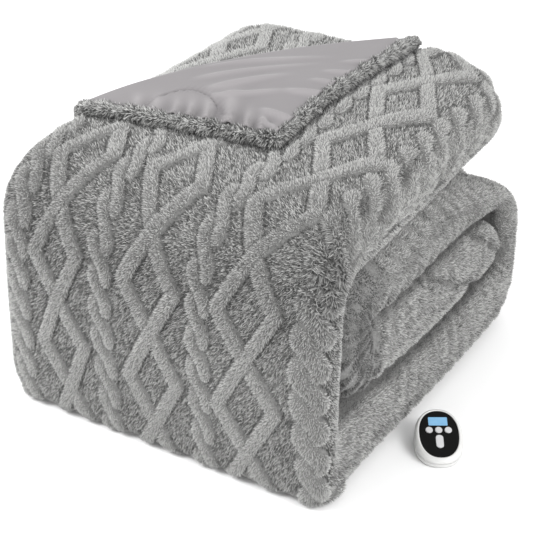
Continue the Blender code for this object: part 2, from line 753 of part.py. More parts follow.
def wall_ring(scale, height_share, lower=0.0):
    """A ring of the controller's wall at a share of the height up to its sloping face."""
    outline = oval(CONTROLLER_HALF_WIDTH * scale, CONTROLLER_HALF_LENGTH * scale)
    face = FRONT_HEIGHT + (outline[:, 1] + CONTROLLER_HALF_LENGTH) * math.tan(FACE_SLOPE)
    height = height_share * face - lower
    return [controller_frame() @ Vector((x, y, z))
            for x, y, z in zip(*map(list, (outline[:, 0], outline[:, 1], height)))]


def face_ring(outline, height, centre=(0.0, 0.0)):
    """An outline set on the sloping face, at a height out of it."""
    frame = face_frame()
    return [frame @ Vector((float(x) + centre[0], float(y) + centre[1], height))
            for x, y in outline]


def face_oval(margin):
    """The face's oval, grown by a margin."""
    return oval(FACE_HALF_WIDTH + margin, FACE_HALF_LENGTH + margin)


def build_shells():
    """The two white shells: the base, and the cover whose rim holds the black fascia."""
    white = material("shell_white", (0.80, 0.80, 0.79), 0.35)
    base_rings = [wall_ring(*ring) for ring in BASE_WALL] + [wall_ring(1.0, PARTING, FIT_GAP)]
    base = mesh_object("controller_base", *loft(base_rings), white, SMOOTH_ANGLE)
    socket = mesh_object("gland_socket", *gland_body(GLAND_RADIUS + FIT_GAP, GLAND_DEPTH), white)
    socket.hide_render = True
    socket.display_type = "WIRE"
    cut = base.modifiers.new("gland socket", "BOOLEAN")
    cut.operation = "DIFFERENCE"
    cut.object = socket
    land = FIT_GAP + RIM_LAND
    cover_rings = [wall_ring(*ring) for ring in COVER_WALL]
    cover_rings += [face_ring(face_oval(land + step.outside), -step.below) for step in RIM_ROUND]
    cover_rings += [face_ring(face_oval(FIT_GAP), height) for height in (0.0, -POCKET_DEPTH)]
    mesh_object("controller_cover", *loft(cover_rings), white, SMOOTH_ANGLE)


def gland_body(radius, depth):
    """A round plug through the base's rear wall, reaching in by a depth."""
    ends = (CONTROLLER_HALF_LENGTH - depth, CONTROLLER_HALF_LENGTH + GLAND_PROUD)
    outline = oval(radius, radius, GLAND_POINTS, CIRCLE_POWER)
    frame = controller_frame()
    rings = [[frame @ Vector((-float(x), y, GLAND_HEIGHT + float(z))) for x, z in outline]
             for y in ends]
    return loft(rings)


def build_gland():
    """The rubber gland where the lead goes in, at the back of the base."""
    rubber = material("gland_rubber", (0.55, 0.55, 0.54), 0.7)
    mesh_object("cord_gland", *gland_body(GLAND_RADIUS, GLAND_DEPTH - FIT_GAP), rubber,
                SMOOTH_ANGLE)


def prism(outline, low, high, centre, bevel=0.0):
    """A plate of an outline on the sloping face, its upper edge rounded by a bevel."""
    rings = [face_ring(outline, low, centre)]
    for step in BEVEL_STEPS if bevel else (0.0,):
        turn = step * math.pi / 2.0
        grown = outline * (1.0 - bevel * (1.0 - math.cos(turn)) / np.abs(outline).max())
        rings.append(face_ring(grown, high - bevel * (1.0 - math.sin(turn)), centre))
    return loft(rings)


def key_outlines():
    """The keys: name, outline, grown outline for its hole, and its place on the face."""
    keys = []
    for number, x in enumerate((-KEY_SPACING, 0.0, KEY_SPACING)):
        keys.append(("key_" + KEY_NAMES[number], circle(KEY_RADIUS),
                     circle(KEY_RADIUS + KEY_GAP), (x, KEY_ROW)))
    half_x, half_y = LONG_KEY_HALF
    hole = (half_x + KEY_GAP, half_y + KEY_GAP, LONG_KEY_CORNER + KEY_GAP)
    keys.append(("key_long", rounded_box(half_x, half_y, LONG_KEY_CORNER), rounded_box(*hole),
                 (0.0, LONG_KEY_Y)))
    return keys


def build_face():
    """The black fascia with its window and key holes, the display and the four keys."""
    black = material("fascia_black", (0.015, 0.015, 0.017), 0.12)
    blue = material("display_blue", (0.25, 0.55, 0.80), 0.25)
    pale = material("key_pale", (0.72, 0.73, 0.74), 0.4)
    low = FIT_GAP - POCKET_DEPTH
    high = low + FASCIA_THICKNESS
    fascia = mesh_object("fascia", *prism(face_oval(0.0), low, high, (0.0, 0.0)), black,
                         SMOOTH_ANGLE)
    half_x, half_y = DISPLAY_HALF
    cutters = [prism(rounded_box(half_x + FIT_GAP, half_y + FIT_GAP, DISPLAY_CORNER + FIT_GAP),
                     low - CUT_PAST, high + CUT_PAST, (0.0, DISPLAY_Y))]
    for name, outline, hole, centre in key_outlines():
        cutters.append(prism(hole, low - CUT_PAST, high + CUT_PAST, centre))
        bottom = low + KEY_TRAVEL
        mesh_object(name, *prism(outline, bottom, high + KEY_PROUD, centre, KEY_BEVEL), pale,
                    SMOOTH_ANGLE)
    points = []
    faces = []
    for cutter_points, cutter_faces in cutters:
        faces += [tuple(i + len(points) for i in face) for face in cutter_faces]
        points += cutter_points
    holes = mesh_object("fascia_holes", points, faces, black)
    holes.hide_render = True
    holes.display_type = "WIRE"
    cut = fascia.modifiers.new("holes", "BOOLEAN")
    cut.operation = "DIFFERENCE"
    cut.object = holes
    window = rounded_box(half_x, half_y, DISPLAY_CORNER)
    mesh_object("display", *prism(window, low, high - DISPLAY_SUNK, (0.0, DISPLAY_Y)), blue,
                SMOOTH_ANGLE)


def main():
    """Clear the scene, then build the blanket and its controller."""
    for old in list(bpy.data.objects):
        bpy.data.objects.remove(old, do_unlink=True)
    build_blanket()
    build_shells()
    build_gland()
    build_face()


main()
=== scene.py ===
"""Looks of a heated plush blanket, folded into a stack, and of its hand controller.

Metres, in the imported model's frame: the origin is on the floor in the middle of the stack,
+Z is up, and the stack's broad front face looks along -Y. The folded cloth is worked out
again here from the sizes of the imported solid, on a finer grid, and its pile stands on it.

A place on the cloth is its length, the distance along the outer face from the rear end of
the top, and its across, the distance over that face from the middle, positive towards +X.
"""
import math
from collections import namedtuple

import bmesh
import bpy
import numpy as np
from mathutils import Matrix


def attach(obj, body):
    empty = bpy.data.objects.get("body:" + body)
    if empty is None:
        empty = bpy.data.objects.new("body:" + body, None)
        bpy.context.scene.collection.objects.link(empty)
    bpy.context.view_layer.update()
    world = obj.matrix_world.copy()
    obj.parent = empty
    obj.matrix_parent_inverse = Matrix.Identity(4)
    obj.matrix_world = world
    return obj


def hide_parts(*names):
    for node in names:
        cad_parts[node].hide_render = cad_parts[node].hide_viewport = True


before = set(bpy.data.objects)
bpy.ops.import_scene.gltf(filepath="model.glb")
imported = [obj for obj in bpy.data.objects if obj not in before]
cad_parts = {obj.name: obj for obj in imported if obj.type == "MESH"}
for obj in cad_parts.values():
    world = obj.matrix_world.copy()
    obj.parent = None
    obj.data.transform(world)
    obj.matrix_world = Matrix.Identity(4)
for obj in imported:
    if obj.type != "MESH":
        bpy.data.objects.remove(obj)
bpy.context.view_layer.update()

# ---- the folded stack
CUT_WIDTH = 2.13
PLIES_ACROSS = 4
HALF_WIDTH = CUT_WIDTH / PLIES_ACROSS / 2
FRONT_Y = -0.287
FOOT_Y = FRONT_Y - 0.008
LEFT_TRIM = 0.004
NOSE_LENGTH = 0.045
NOSE_TIP = 0.12
REAR_RIGHT_RADIUS = 0.15
REAR_LEFT_RADIUS = 0.05
CROWN_ACROSS = 0.005
CROWN_FROM = 0.30
CROWN_RISE = 0.10
UNEVEN = 0.0022
FLOOR_BAND = 0.05
INNER_ROUND = 0.6
SIDE_LIMIT = 0.8

# ---- the raised pattern, its places read off the photo
# The crossings are counted from the front's middle one. A column of crossing bands has, at
# each, its length, its place across, how much later its right side comes than its left, and
# how far its bands swing to either side.
CROSSINGS = (-4, -3, -2, -1, 0, 1, 2)
MEAN_REPEAT = 0.145
FIRST_REPEAT = -8
LAST_REPEAT = 22
Column = namedtuple("Column", "lengths across slant swing")
COLUMNS = (
    Column((0.200, 0.335, 0.465, 0.618, 0.754, 0.892, 1.034),
           (-0.178, -0.170, -0.155, -0.155, -0.159, -0.148, -0.146),
           (0.0, 0.0, -0.25, -0.30, -0.05, -0.15, -0.15),
           (0.034, 0.037, 0.038, 0.037, 0.035, 0.035, 0.035)),
    Column((0.165, 0.320, 0.460, 0.620, 0.760, 0.900, 1.040),
           (0.000, -0.004, -0.014, -0.006, -0.007, -0.005, -0.004),
           (0.20, 0.20, 0.12, 0.10, -0.02, -0.08, -0.10),
           (0.042, 0.042, 0.042, 0.040, 0.039, 0.039, 0.039)),
    Column((0.152, 0.320, 0.476, 0.614, 0.756, 0.892, 1.034),
           (0.150, 0.160, 0.162, 0.143, 0.139, 0.143, 0.145),
           (0.29, 0.26, 0.05, -0.12, -0.13, -0.12, -0.12),
           (0.043, 0.043, 0.042, 0.042, 0.045, 0.044, 0.044)),
)
BAND_RADIUS = 0.0112
BAND_POWER = 4.0
CROSSING_GROOVE = 0.0018
GROOVE_SHARE = 0.35
OVER_SHARE = 1.03
RELIEF = 0.0074
RELIEF_FADE = 0.02
# The part of the top behind the turned corner is flatter and paler.
REAR_TO = 0.34
REAR_LEFT_OF = 0.02
REAR_SOFT = 0.06
REAR_FLATTER = 0.40
REAR_PALER = 0.20
# A rope: its place across at each crossing, and its size next to the others.
Rope = namedtuple("Rope", "across grow")
ROPES = (
    Rope((-0.232, -0.230, -0.228, -0.214, -0.226, -0.226, -0.226), 1.0),
    Rope((-0.098, -0.094, -0.089, -0.078, -0.087, -0.080, -0.080), 1.0),
    Rope((0.085, 0.090, 0.088, 0.075, 0.066, 0.074, 0.076), 1.0),
    Rope((0.244, 0.242, 0.240, 0.236, 0.228, 0.243, 0.246), 1.30),
)
ROPE_LATE = 0.006
EDGE_ROPE_END = 1.02
EDGE_ROPE_SOFT = 0.04
EDGE_ROPE_FADE = 0.30
EDGE_ROPE_SLANT = 0.9
TOP_FLATTER = 0.16
TOP_FROM = 0.62
TOP_RISE = 0.10
STRANDS = 3.0
STRAND_REACH = 0.88
STRAND_RADIUS = 0.0103
STRAND_SWAY = 0.0100
STRAND_BEND = 1.6
STRAND_END_POWER = 4
STRAND_SIDE_POWER = 3.0
ROPE_HEIGHT = 1.15
# The smooth brushed right side of the top, and the tuft where the brow meets it.
BRUSHED_FROM = 0.222
BRUSHED_RISE = 0.035
BRUSHED_END = 0.60
BRUSHED_SOFT = 0.05
BRUSHED_FLATTER = 0.55
TUFT_AT = (0.610, 0.236)
TUFT_SIZE = (0.050, 0.036)

# ---- the soft folds down the sides of the layers
# Creases of the top's right side, from a length and an across to another.
TOP_CREASES = ((0.250, 0.262, 0.346, 0.290), (0.424, 0.280, 0.474, 0.296),
               (0.348, 0.226, 0.402, 0.244), (0.426, 0.246, 0.482, 0.262),
               (0.472, 0.226, 0.504, 0.246), (0.090, 0.250, 0.150, 0.262),
               (0.060, 0.236, 0.085, 0.240), (0.520, 0.280, 0.590, 0.262))
# Creases of the lower layers' right side, from a Y and a Z to another.
LOWER_CREASES = ((0.150, 0.203, 0.190, 0.180), (0.190, 0.180, 0.235, 0.145),
                 (0.000, 0.205, 0.090, 0.155), (0.090, 0.155, 0.185, 0.112),
                 (-0.150, 0.212, -0.156, 0.150), (-0.156, 0.150, -0.140, 0.120))
LOWER_CREASES_UNDER = 0.26
CREASES_FROM_X = 0.20
CREASES_SOFT = 0.04
CREASE_WIDTH = 0.0075
CREASE_DEPTH = 0.0075
CREASE_SHADE = 0.50
CREASE_END_FADE = 0.8
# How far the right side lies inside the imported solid's, to leave room for the pile.
TRIM_LENGTHS = (0.0, 0.40, 0.56, 0.70, 1.05, 1.62, 1.80, 2.05, 2.20)
TRIMS = (0.016, 0.014, 0.008, 0.007, 0.006, 0.006, 0.012, 0.012, 0.003)
PLEAT_PITCH = 0.037
PLEAT_HEIGHT = 0.0066
# How large the pleats are: on the top, the lowest layer, the layer over it and the core.
PLEAT_LENGTHS = (1.05, 1.20, 1.80, 2.00, 2.45, 2.60)
PLEAT_SIZES = (0.25, 0.70, 0.70, 1.45, 1.45, 0.80)
PLEAT_SLANT = 0.55
PLEAT_WANDER = 0.25
PLEAT_WANDER_RATE = 9.0
PLEAT_POWER = 0.8
PLEAT_MEAN = 0.62
PLEAT_UNEVEN = 0.35
PLEAT_UNEVEN_RATE = 5.3
PLEAT_SIDE_SHIFT = 1.7

# ---- the turned-down corner
FOLD_LEFT = np.array((-0.242, -0.135))
FOLD_REAR = np.array((0.080, 0.284))
FOLD_CHORD = FOLD_REAR - FOLD_LEFT
FOLD_REACH = float(np.linalg.norm(FOLD_CHORD))
FOLD_LINE = FOLD_CHORD / FOLD_REACH
FOLD_FRONT = np.array((FOLD_LINE[1], -FOLD_LINE[0]))
FOLD_BOW = 0.012
FLAP_TIP = np.array((0.078, -0.118))
PLY = 0.014
FLAP_GAP = 0.003
FLAP_DROOP = 0.020
FLAP_ROOT = 0.022
FLAP_LEVEL = 0.345
FOLD_CLEAR = 0.026
STEP_WIDTH = 0.012
STEP_AHEAD = 0.012
STEP_RISE = 0.030
MASK_SOFT = 0.010
HEM_ANGLE = math.sqrt(0.5)
HEM_EDGE = 0.010
HEM_TIP = 0.3
HEM_RISE = 0.008
HEM_WIDTH = 0.012
HEM_EXTRA = 0.004
ROOT_THIN = 0.4
LINING_GAP = 0.0003
LINING_THICKNESS = 0.002
LINING_SHORTEST = 0.028
FLAP_ROLL = (PLY + FLAP_GAP) / 2.0
FLAP_SHORTEST = 0.008

# A corner of the folded strip's section: its outer and inner points and their radii, the
# half width and side rounding of the layers there, and how far up the layer its side's
# furthest point lies.
Corner = namedtuple("Corner", "name out_y out_z out_r in_y in_z in_r half side waist")
SECTION = (
    Corner("rear end of the top", 0.318, 0.422, 0.0, 0.318, 0.352, 0.0, 0.266, 0.080, 0.30),
    Corner("crown of the top", 0.020, 0.414, 0.45, 0.020, 0.330, 0.30, 0.270, 0.085, 0.25),
    Corner("brow", FRONT_Y, 0.378, 0.110, -0.253, 0.308, 0.020, 0.266, 0.050, 0.35),
    Corner("front foot", FOOT_Y, 0.000, 0.036, -0.253, 0.100, 0.016, 0.266, 0.035, 0.50),
    Corner("rear foot", 0.322, 0.000, 0.072, 0.246, 0.100, 0.020, 0.268, 0.045, 0.50),
    Corner("rear shoulder", 0.300, 0.234, 0.105, 0.246, 0.220, 0.020, 0.270, 0.045, 0.50),
    Corner("under the top", 0.055, 0.322, 0.200, 0.118, 0.214, 1.000, 0.260, 0.045, 0.45),
    Corner("inner bend, top", -0.245, 0.302, 0.060, -0.155, 0.214, 0.003, 0.252, 0.040, 0.45),
    Corner("inner bend, foot", -0.245, 0.106, 0.085, -0.155, 0.209, 0.002, 0.256, 0.040, 0.50),
    Corner("core", 0.100, 0.106, 0.00, 0.106, 0.209, 0.060, 0.260, 0.040, 0.50),
    Corner("core end", 0.238, 0.106, 0.0, 0.238, 0.203, 0.0, 0.260, 0.035, 0.50),
)
BROW = 2
FOOT = 3
ARC_SHARE = 0.25
FINE = 12
LEAST_LENGTH = 1e-9

# The slow waves of the uneven stack: phase for each metre along X, Y and Z, and at 0.
Wave = namedtuple("Wave", "per_x per_y per_z start")
WAVE_X = Wave(0.0, 14.0, 9.0, 0.6)
WAVE_Y = Wave(13.0, 0.0, -7.0, 2.1)
WAVE_Z = Wave(11.0, 8.0, 0.0, 1.0)

# ---- the grids
FACE_ROW = 0.0037
FOLD_ROW = 0.016
OUTER_COLUMNS = 201
SKIN_SHARE = 0.82
SKIN_UNDER = 0.0006
NOSE_ROWS = (0.0, 0.02, 0.06, 0.13, 0.25, 0.42, 0.6, 0.8)
INNER_COLUMNS = 25
ARC_ROWS = 7
RIM_INSET = 0.0075
RIM_RADIUS = 0.0096
RIM_FROM = -0.35
RIM_TO = 3.3
RIM_SPACING = 0.0017
TIP_ROUND = 0.10
FLAP_LINES = 110
FLAP_ROWS = 70
FLAP_CROWDING = 1.4


# ------------------------------------------------------------------ the section in Y and Z
def smooth_step(value):
    """0 below 0, 1 above 1, and three squares less two cubes between."""
    value = np.clip(value, 0.0, 1.0)
    return value * value * (3.0 - 2.0 * value)


def rise(value, start, run):
    """A soft step up: 0 until the start, and 1 from a run beyond it."""
    return smooth_step((value - start) / run)


def fall(value, end, run):
    """A soft step down: 1 until a run before the end, and 0 beyond it."""
    return smooth_step((end - value) / run)


def bell(value, width):
    """A bell curve: 1 at 0, and e to the minus square of the value over its width."""
    return np.exp(-(value / width) ** 2)


def unit(vectors):
    """Vectors of length 1 that point the same way."""
    size = np.linalg.norm(vectors, axis=-1, keepdims=True)
    return vectors / np.maximum(size, LEAST_LENGTH)


def corner_arc(before, at, after, radius, steps):
    """A circle's arc that meets both straights of a corner, at even angles."""
    if radius == 0.0:
        return np.array([at] * (steps + 1))
    to_before, to_after = unit(before - at), unit(after - at)
    half_angle = math.acos(float(np.clip(to_before @ to_after, -1.0, 1.0))) / 2.0
    centre = at + unit(to_before + to_after) * radius / math.sin(half_angle)
    start = at + to_before * radius / math.tan(half_angle) - centre
    end = at + to_after * radius / math.tan(half_angle) - centre
    first = math.atan2(start[1], start[0])
    turn = (math.atan2(end[1], end[0]) - first + math.pi) % (2.0 * math.pi) - math.pi
    angles = first + turn * np.linspace(0.0, 1.0, steps + 1)
    return centre + radius * np.stack((np.cos(angles), np.sin(angles)), axis=1)


def side_line(points, radii):
    """One side of the strip: FINE steps on each straight, then FINE round each corner."""
    pieces = [points[:1]]
    last = len(points) - 1
    part = np.linspace(0.0, 1.0, FINE + 1)[1:, None]
    for i in range(1, last + 1):
        arc = points[last:]
        if i < last:
            arc = corner_arc(points[i - 1], points[i], points[i + 1], radii[i], FINE)
        start = pieces[-1][-1]
        pieces.append(start + (arc[0] - start) * part)
        pieces.append(arc[1:])
    return np.vstack(pieces)


def corner_spans(last):
    """Travel, counted in corners, at the ends of each straight and each round."""
    spans = [0.0]
    for i in range(1, last):
        spans += [i - ARC_SHARE, i + ARC_SHARE]
    return np.array(spans + [float(last)])


LAST = len(SECTION) - 1
OUTER = side_line(np.array([(c.out_y, c.out_z) for c in SECTION]), [c.out_r for c in SECTION])
INNER = side_line(np.array([(c.in_y, c.in_z) for c in SECTION]), [c.in_r for c in SECTION])
SPANS = corner_spans(LAST)
TRAVEL = np.interp(np.arange(len(OUTER)) / FINE, np.arange(len(SPANS)), SPANS)
RUN_LENGTH = np.concatenate(
    ([0.0], np.cumsum(np.linalg.norm(np.diff(OUTER, axis=0), axis=1))))


def along(travel, line):
    """The point of a fine line at a travel, straight between its points."""
    return np.stack([np.interp(travel, TRAVEL, line[:, i]) for i in (0, 1)], axis=-1)


def corner_value(travel, name):
    """A value of the table at a travel: held round each corner, blended between corners."""
    values = [getattr(corner, name) for corner in SECTION]
    held = [values[0]]
    for value in values[1:-1]:
        held += [value, value]
    return np.interp(travel, SPANS, held + [values[-1]])


def length_at(travel):
    """Distance along the outer line, from the rear end of the top."""
    return np.interp(travel, TRAVEL, RUN_LENGTH)


def travel_at(length):
    """Travel at a distance along the outer line."""
    return np.interp(length, RUN_LENGTH, TRAVEL)


# ------------------------------------------------------------------ the raised pattern
def on_top(length):
    """1 on the top, falling softly to 0 below the brow."""
    return fall(length, TOP_FROM, TOP_RISE)


def behind_corner(length, across):
    """1 on the rear left of the top, behind the turned corner, and else 0."""
    return (fall(length, REAR_TO, REAR_SOFT)
            * fall(across, REAR_LEFT_OF, REAR_SOFT))


def repeat_at(length, lengths):
    """Crossings passed at a length, at an even pace before and after the table's own."""
    before = lengths[0] + (FIRST_REPEAT - CROSSINGS[0]) * MEAN_REPEAT
    after = lengths[-1] + (LAST_REPEAT - CROSSINGS[-1]) * MEAN_REPEAT
    return np.interp(length, (before,) + lengths + (after,),
                     (FIRST_REPEAT,) + CROSSINGS + (LAST_REPEAT,))


def band_relief(length, across, grow):
    """Two straight bands that cross once a repeat, one lying over the other.

    Each band is a ridge, the square root of 1 less its distance over its radius to a
    power. The lower one dips in a groove, a bell curve on the upper one's edge.
    """
    height = np.zeros(np.broadcast(length, across).shape)
    radius = BAND_RADIUS * grow
    for column in COLUMNS:
        off = across - np.interp(length, column.lengths, column.across)
        slant = np.interp(length, column.lengths, column.slant)
        slope = 2.0 * np.interp(length, column.lengths, column.swing)
        repeat = repeat_at(length - slant * off, column.lengths)
        from_crossing = repeat - np.round(repeat)
        lean = 1.0 / np.hypot(1.0, slope / MEAN_REPEAT)
        under = np.abs(off - slope * from_crossing) * lean
        over = np.abs(off + slope * from_crossing) * lean
        groove = GROOVE_SHARE * bell(over - radius, CROSSING_GROOVE)
        for far, share in ((under, 1.0 - groove), (over, OVER_SHARE)):
            ridge = np.sqrt(1.0 - np.clip(far / radius, 0.0, 1.0) ** BAND_POWER)
            height = np.maximum(height, ridge * share)
    return height


def rope_relief(length, across, grow):
    """Twisted ropes: slanting S-shaped strands, each lying half beside the next.

    A strand's middle swings across as the sine of its share along, and its height is the
    square root of 1 less powers of the share along and of the distance from its middle.
    """
    height = np.zeros(np.broadcast(length, across).shape)
    lengths = COLUMNS[1].lengths
    strand = repeat_at(length - ROPE_LATE, lengths) * STRANDS
    for rope in ROPES:
        off = across - np.interp(length, lengths, rope.across)
        shown = 1.0
        sway = STRAND_SWAY
        if rope.grow > 1.0:
            sway = sway * (1.0 + EDGE_ROPE_SLANT * on_top(length))
            shown = 1.0 - EDGE_ROPE_FADE * on_top(length)
            shown = shown * fall(length, EDGE_ROPE_END, EDGE_ROPE_SOFT)
        for number in (-1, 0, 1):
            share = (strand - np.round(strand) - number) / STRAND_REACH
            bend = np.sin(np.clip(STRAND_BEND * share, -1.0, 1.0) * math.pi / 2.0)
            beside = np.abs(off - sway * rope.grow * bend)
            beside = beside / (STRAND_RADIUS * rope.grow * grow)
            left = 1.0 - np.abs(share) ** STRAND_END_POWER - beside ** STRAND_SIDE_POWER
            ridge = np.sqrt(np.clip(left, 0.0, 1.0)) * rope.grow * shown
            height = np.maximum(height, ridge)
    return ROPE_HEIGHT * height


def pattern(length, across, grow=1.0):
    """Share of the relief at a place on the cloth: the higher of the bands and the ropes."""
    return np.maximum(band_relief(length, across, grow), rope_relief(length, across, grow))


def brushed_flat(length, across):
    """1 on the right side of the top, where the pile lies brushed flat, and else 0."""
    return (rise(across, BRUSHED_FROM, BRUSHED_RISE)
            * fall(length, BRUSHED_END, BRUSHED_SOFT))


def tufted(length, across):
    """A bell round the tuft where the brow meets the right side."""
    return bell(length - TUFT_AT[0], TUFT_SIZE[0]) * bell(across - TUFT_AT[1], TUFT_SIZE[1])


def line_distance(first, second, lines, width):
    """The strongest of some bells, one round each straight line between two places."""
    strongest = np.zeros(np.broadcast(first, second).shape)
    for x, y, to_x, to_y in lines:
        run, climb = to_x - x, to_y - y
        share = ((first - x) * run + (second - y) * climb) / (run * run + climb * climb)
        share = np.clip(share, 0.0, 1.0)
        far = np.hypot(first - x - share * run, second - y - share * climb)
        ends = 1.0 - CREASE_END_FADE * (2.0 * share - 1.0) ** 4
        strongest = np.maximum(strongest, ends * bell(far, width))
    return strongest


def top_troughs(length, across):
    """The creases on the right side of the top, as bells over the cloth."""
    return line_distance(length, across, TOP_CREASES, CREASE_WIDTH)


def side_troughs(points):
    """The creases on the right side of the lower layers, as bells in Y and Z."""
    near = line_distance(points[..., 1], points[..., 2], LOWER_CREASES, CREASE_WIDTH)
    below = points[..., 2] < LOWER_CREASES_UNDER
    return near * rise(points[..., 0], CREASES_FROM_X, CREASES_SOFT) * below


def fold_bow(share):
    """How far the fold bows to the rear of its chord: a parabola, highest in the middle."""
    inside = np.clip(share, 0.0, 1.0)
    return FOLD_BOW * 4.0 * inside * (1.0 - inside)


def fold_coordinates(x, y):
    """Share of the way along the fold of the turned corner, and distance in front of it."""
    x = x - FOLD_LEFT[0]
    y = y - FOLD_LEFT[1]
    share = (x * FOLD_LINE[0] + y * FOLD_LINE[1]) / FOLD_REACH
    return share, x * FOLD_FRONT[0] + y * FOLD_FRONT[1] + fold_bow(share)


def flap_reach(share):
    """How far the corner lies in front of its fold: a tent that peaks at its tip."""
    tip_share, depth = fold_coordinates(*FLAP_TIP)
    return depth * np.clip(np.minimum(share / tip_share, (1.0 - share) / (1.0 - tip_share)),
                           0.0, 1.0)


def under_flap(points, margin):
    """1 where a point of the top lies under the turned corner, by a margin, and else 0."""
    along_fold, from_fold = fold_coordinates(points[..., 0], points[..., 1])
    hidden = smooth_step((from_fold + FOLD_CLEAR) / MASK_SOFT)
    hidden = hidden * smooth_step((flap_reach(along_fold) + margin - from_fold) / MASK_SOFT)
    return hidden * (points[..., 2] > FLAP_LEVEL)


def pattern_mask(points, length):
    """Where the pattern shows: all but the underside, the stack's end and under the corner."""
    shown = 1.0 - under_flap(points, MASK_SOFT)
    return shown * smooth_step(points[..., 2] / RELIEF_FADE) * smooth_step(length / NOSE_LENGTH)


# ------------------------------------------------------------------ the faces of the layers
def end_opening(length):
    """How far the layer is open: a quarter of a circle from a rounded end's tip."""
    near = np.clip(np.minimum(length, RUN_LENGTH[-1] - length) / NOSE_LENGTH, 0.0, 1.0)
    return NOSE_TIP + (1.0 - NOSE_TIP) * np.sqrt(1.0 - (1.0 - near) ** 2)


def side_trim(travel, sign):
    """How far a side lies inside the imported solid's."""
    return np.where(sign > 0, np.interp(length_at(travel), TRIM_LENGTHS, TRIMS), LEFT_TRIM)


def half_width(travel, sign):
    """Half width towards +X or -X, drawn in round the rear corners of the top."""
    radius = np.where(sign > 0, REAR_RIGHT_RADIUS, REAR_LEFT_RADIUS)
    short = np.clip(1.0 - length_at(travel) / radius, 0.0, 1.0)
    full = corner_value(travel, "half") - side_trim(travel, sign)
    return full - radius * (1.0 - np.sqrt(1.0 - short ** 2))


def side_round(travel, sign):
    """Radius in X of the rounded side."""
    return np.minimum(corner_value(travel, "side"), SIDE_LIMIT * half_width(travel, sign))


def quarter_length(travel, sign):
    """Length of the rounded side, a quarter of an ellipse by its mean square radius."""
    thick = np.linalg.norm(along(travel, OUTER) - along(travel, INNER), axis=-1)
    drop = (1.0 - corner_value(travel, "waist")) * thick
    return math.pi / 2.0 * np.sqrt((side_round(travel, sign) ** 2 + drop ** 2) / 2.0)


def squeeze(travel, sign):
    """Share of its width that the cloth keeps where the rear corners are drawn in."""
    return (half_width(travel, sign) + side_trim(travel, sign)) / corner_value(travel, "half")


def widest(travel, sign):
    """The distance across, over the outer face, at which a side's furthest point lies."""
    flat = half_width(travel, sign) - side_round(travel, sign)
    return (flat + quarter_length(travel, sign)) / squeeze(travel, sign)


def side_folds(length, angle, sign):
    """Soft slanting pleats on the rounded sides: rounded ridges that fade at both ends."""
    wander = PLEAT_WANDER * np.sin(PLEAT_WANDER_RATE * length + sign)
    count = length / PLEAT_PITCH + PLEAT_SLANT * angle + wander
    ridge = np.abs(np.cos(math.pi * count)) ** PLEAT_POWER - PLEAT_MEAN
    uneven = np.sin(PLEAT_UNEVEN_RATE * length + PLEAT_SIDE_SHIFT * sign)
    size = 1.0 - PLEAT_UNEVEN + PLEAT_UNEVEN * uneven
    size = size * np.interp(length, PLEAT_LENGTHS, PLEAT_SIZES)
    return PLEAT_HEIGHT * ridge * size * np.sin(2.0 * angle)


def wave(shape, x, y, z):
    """One of the slow waves: a sine of the place."""
    return UNEVEN * np.sin(shape.per_x * x + shape.per_y * y + shape.per_z * z + shape.start)


def settle(points):
    """Crown across the top, the step of one ply behind the fold, and a slight unevenness."""
    x = points[..., 0]
    y = points[..., 1]
    z = points[..., 2]
    upper = rise(z, CROWN_FROM, CROWN_RISE)
    behind = fall(fold_coordinates(x, y)[1], STEP_AHEAD, STEP_WIDTH)
    drop = CROWN_ACROSS * (x / HALF_WIDTH) ** 2 * upper
    drop = drop + PLY * behind * rise(z, FLAP_LEVEL, STEP_RISE)
    lift = smooth_step(z / FLOOR_BAND)
    shift_x, shift_y, shift_z = (wave(shape, x, y, z) * lift for shape in (WAVE_X, WAVE_Y, WAVE_Z))
    return np.stack((x + shift_x, y + shift_y, z - drop + shift_z), axis=-1)


def face_frame(travel, x, sign, angle, face):
    """Points of a face, from the layer's waist outwards, and the normals there.

    The angle runs from 0 on the flat to a quarter turn at the side's furthest point.
    """
    outer, inner = along(travel, OUTER), along(travel, INNER)
    waist = inner + corner_value(travel, "waist")[..., None] * (outer - inner)
    target, other = (outer, inner) if face == "outer" else (inner, outer)
    open_share = (np.cos(angle) * end_opening(length_at(travel)))[..., None]
    points = np.concatenate((x[..., None], waist + (target - waist) * open_share), axis=-1)
    out = unit(target - other) * np.cos(angle)[..., None]
    return points, np.concatenate(((sign * np.sin(angle))[..., None], out), axis=-1)


def outer_face(travel, across, raise_by=0.0, share=1.0):
    """The outer face: flat in the middle, a quarter of an ellipse down to each side.

    It is raised by the pattern, less where the pile lies flat, and by the pleats, and
    lowered by the creases.
    """
    sign = np.where(across > 0, 1.0, -1.0)
    length = length_at(travel)
    radius = side_round(travel, sign)
    flat = half_width(travel, sign) - radius
    placed = np.abs(across) * squeeze(travel, sign)
    angle = np.clip((placed - flat) / quarter_length(travel, sign), 0.0, 1.0) * math.pi / 2.0
    x = sign * (np.minimum(placed, flat) + radius * np.sin(angle))
    points, normal = face_frame(travel, x, sign, angle, "outer")
    raised = share * RELIEF * pattern(length, across) * pattern_mask(points, length)
    for flatter, shown in ((BRUSHED_FLATTER, brushed_flat(length, across)),
                           (REAR_FLATTER, behind_corner(length, across)),
                           (TOP_FLATTER, on_top(length))):
        raised = raised * (1.0 - flatter * shown)
    raised = raised + side_folds(length, angle, sign) + raise_by
    troughs = top_troughs(length, across) + side_troughs(points)
    return settle(points + normal * (raised - CREASE_DEPTH * troughs)[..., None])


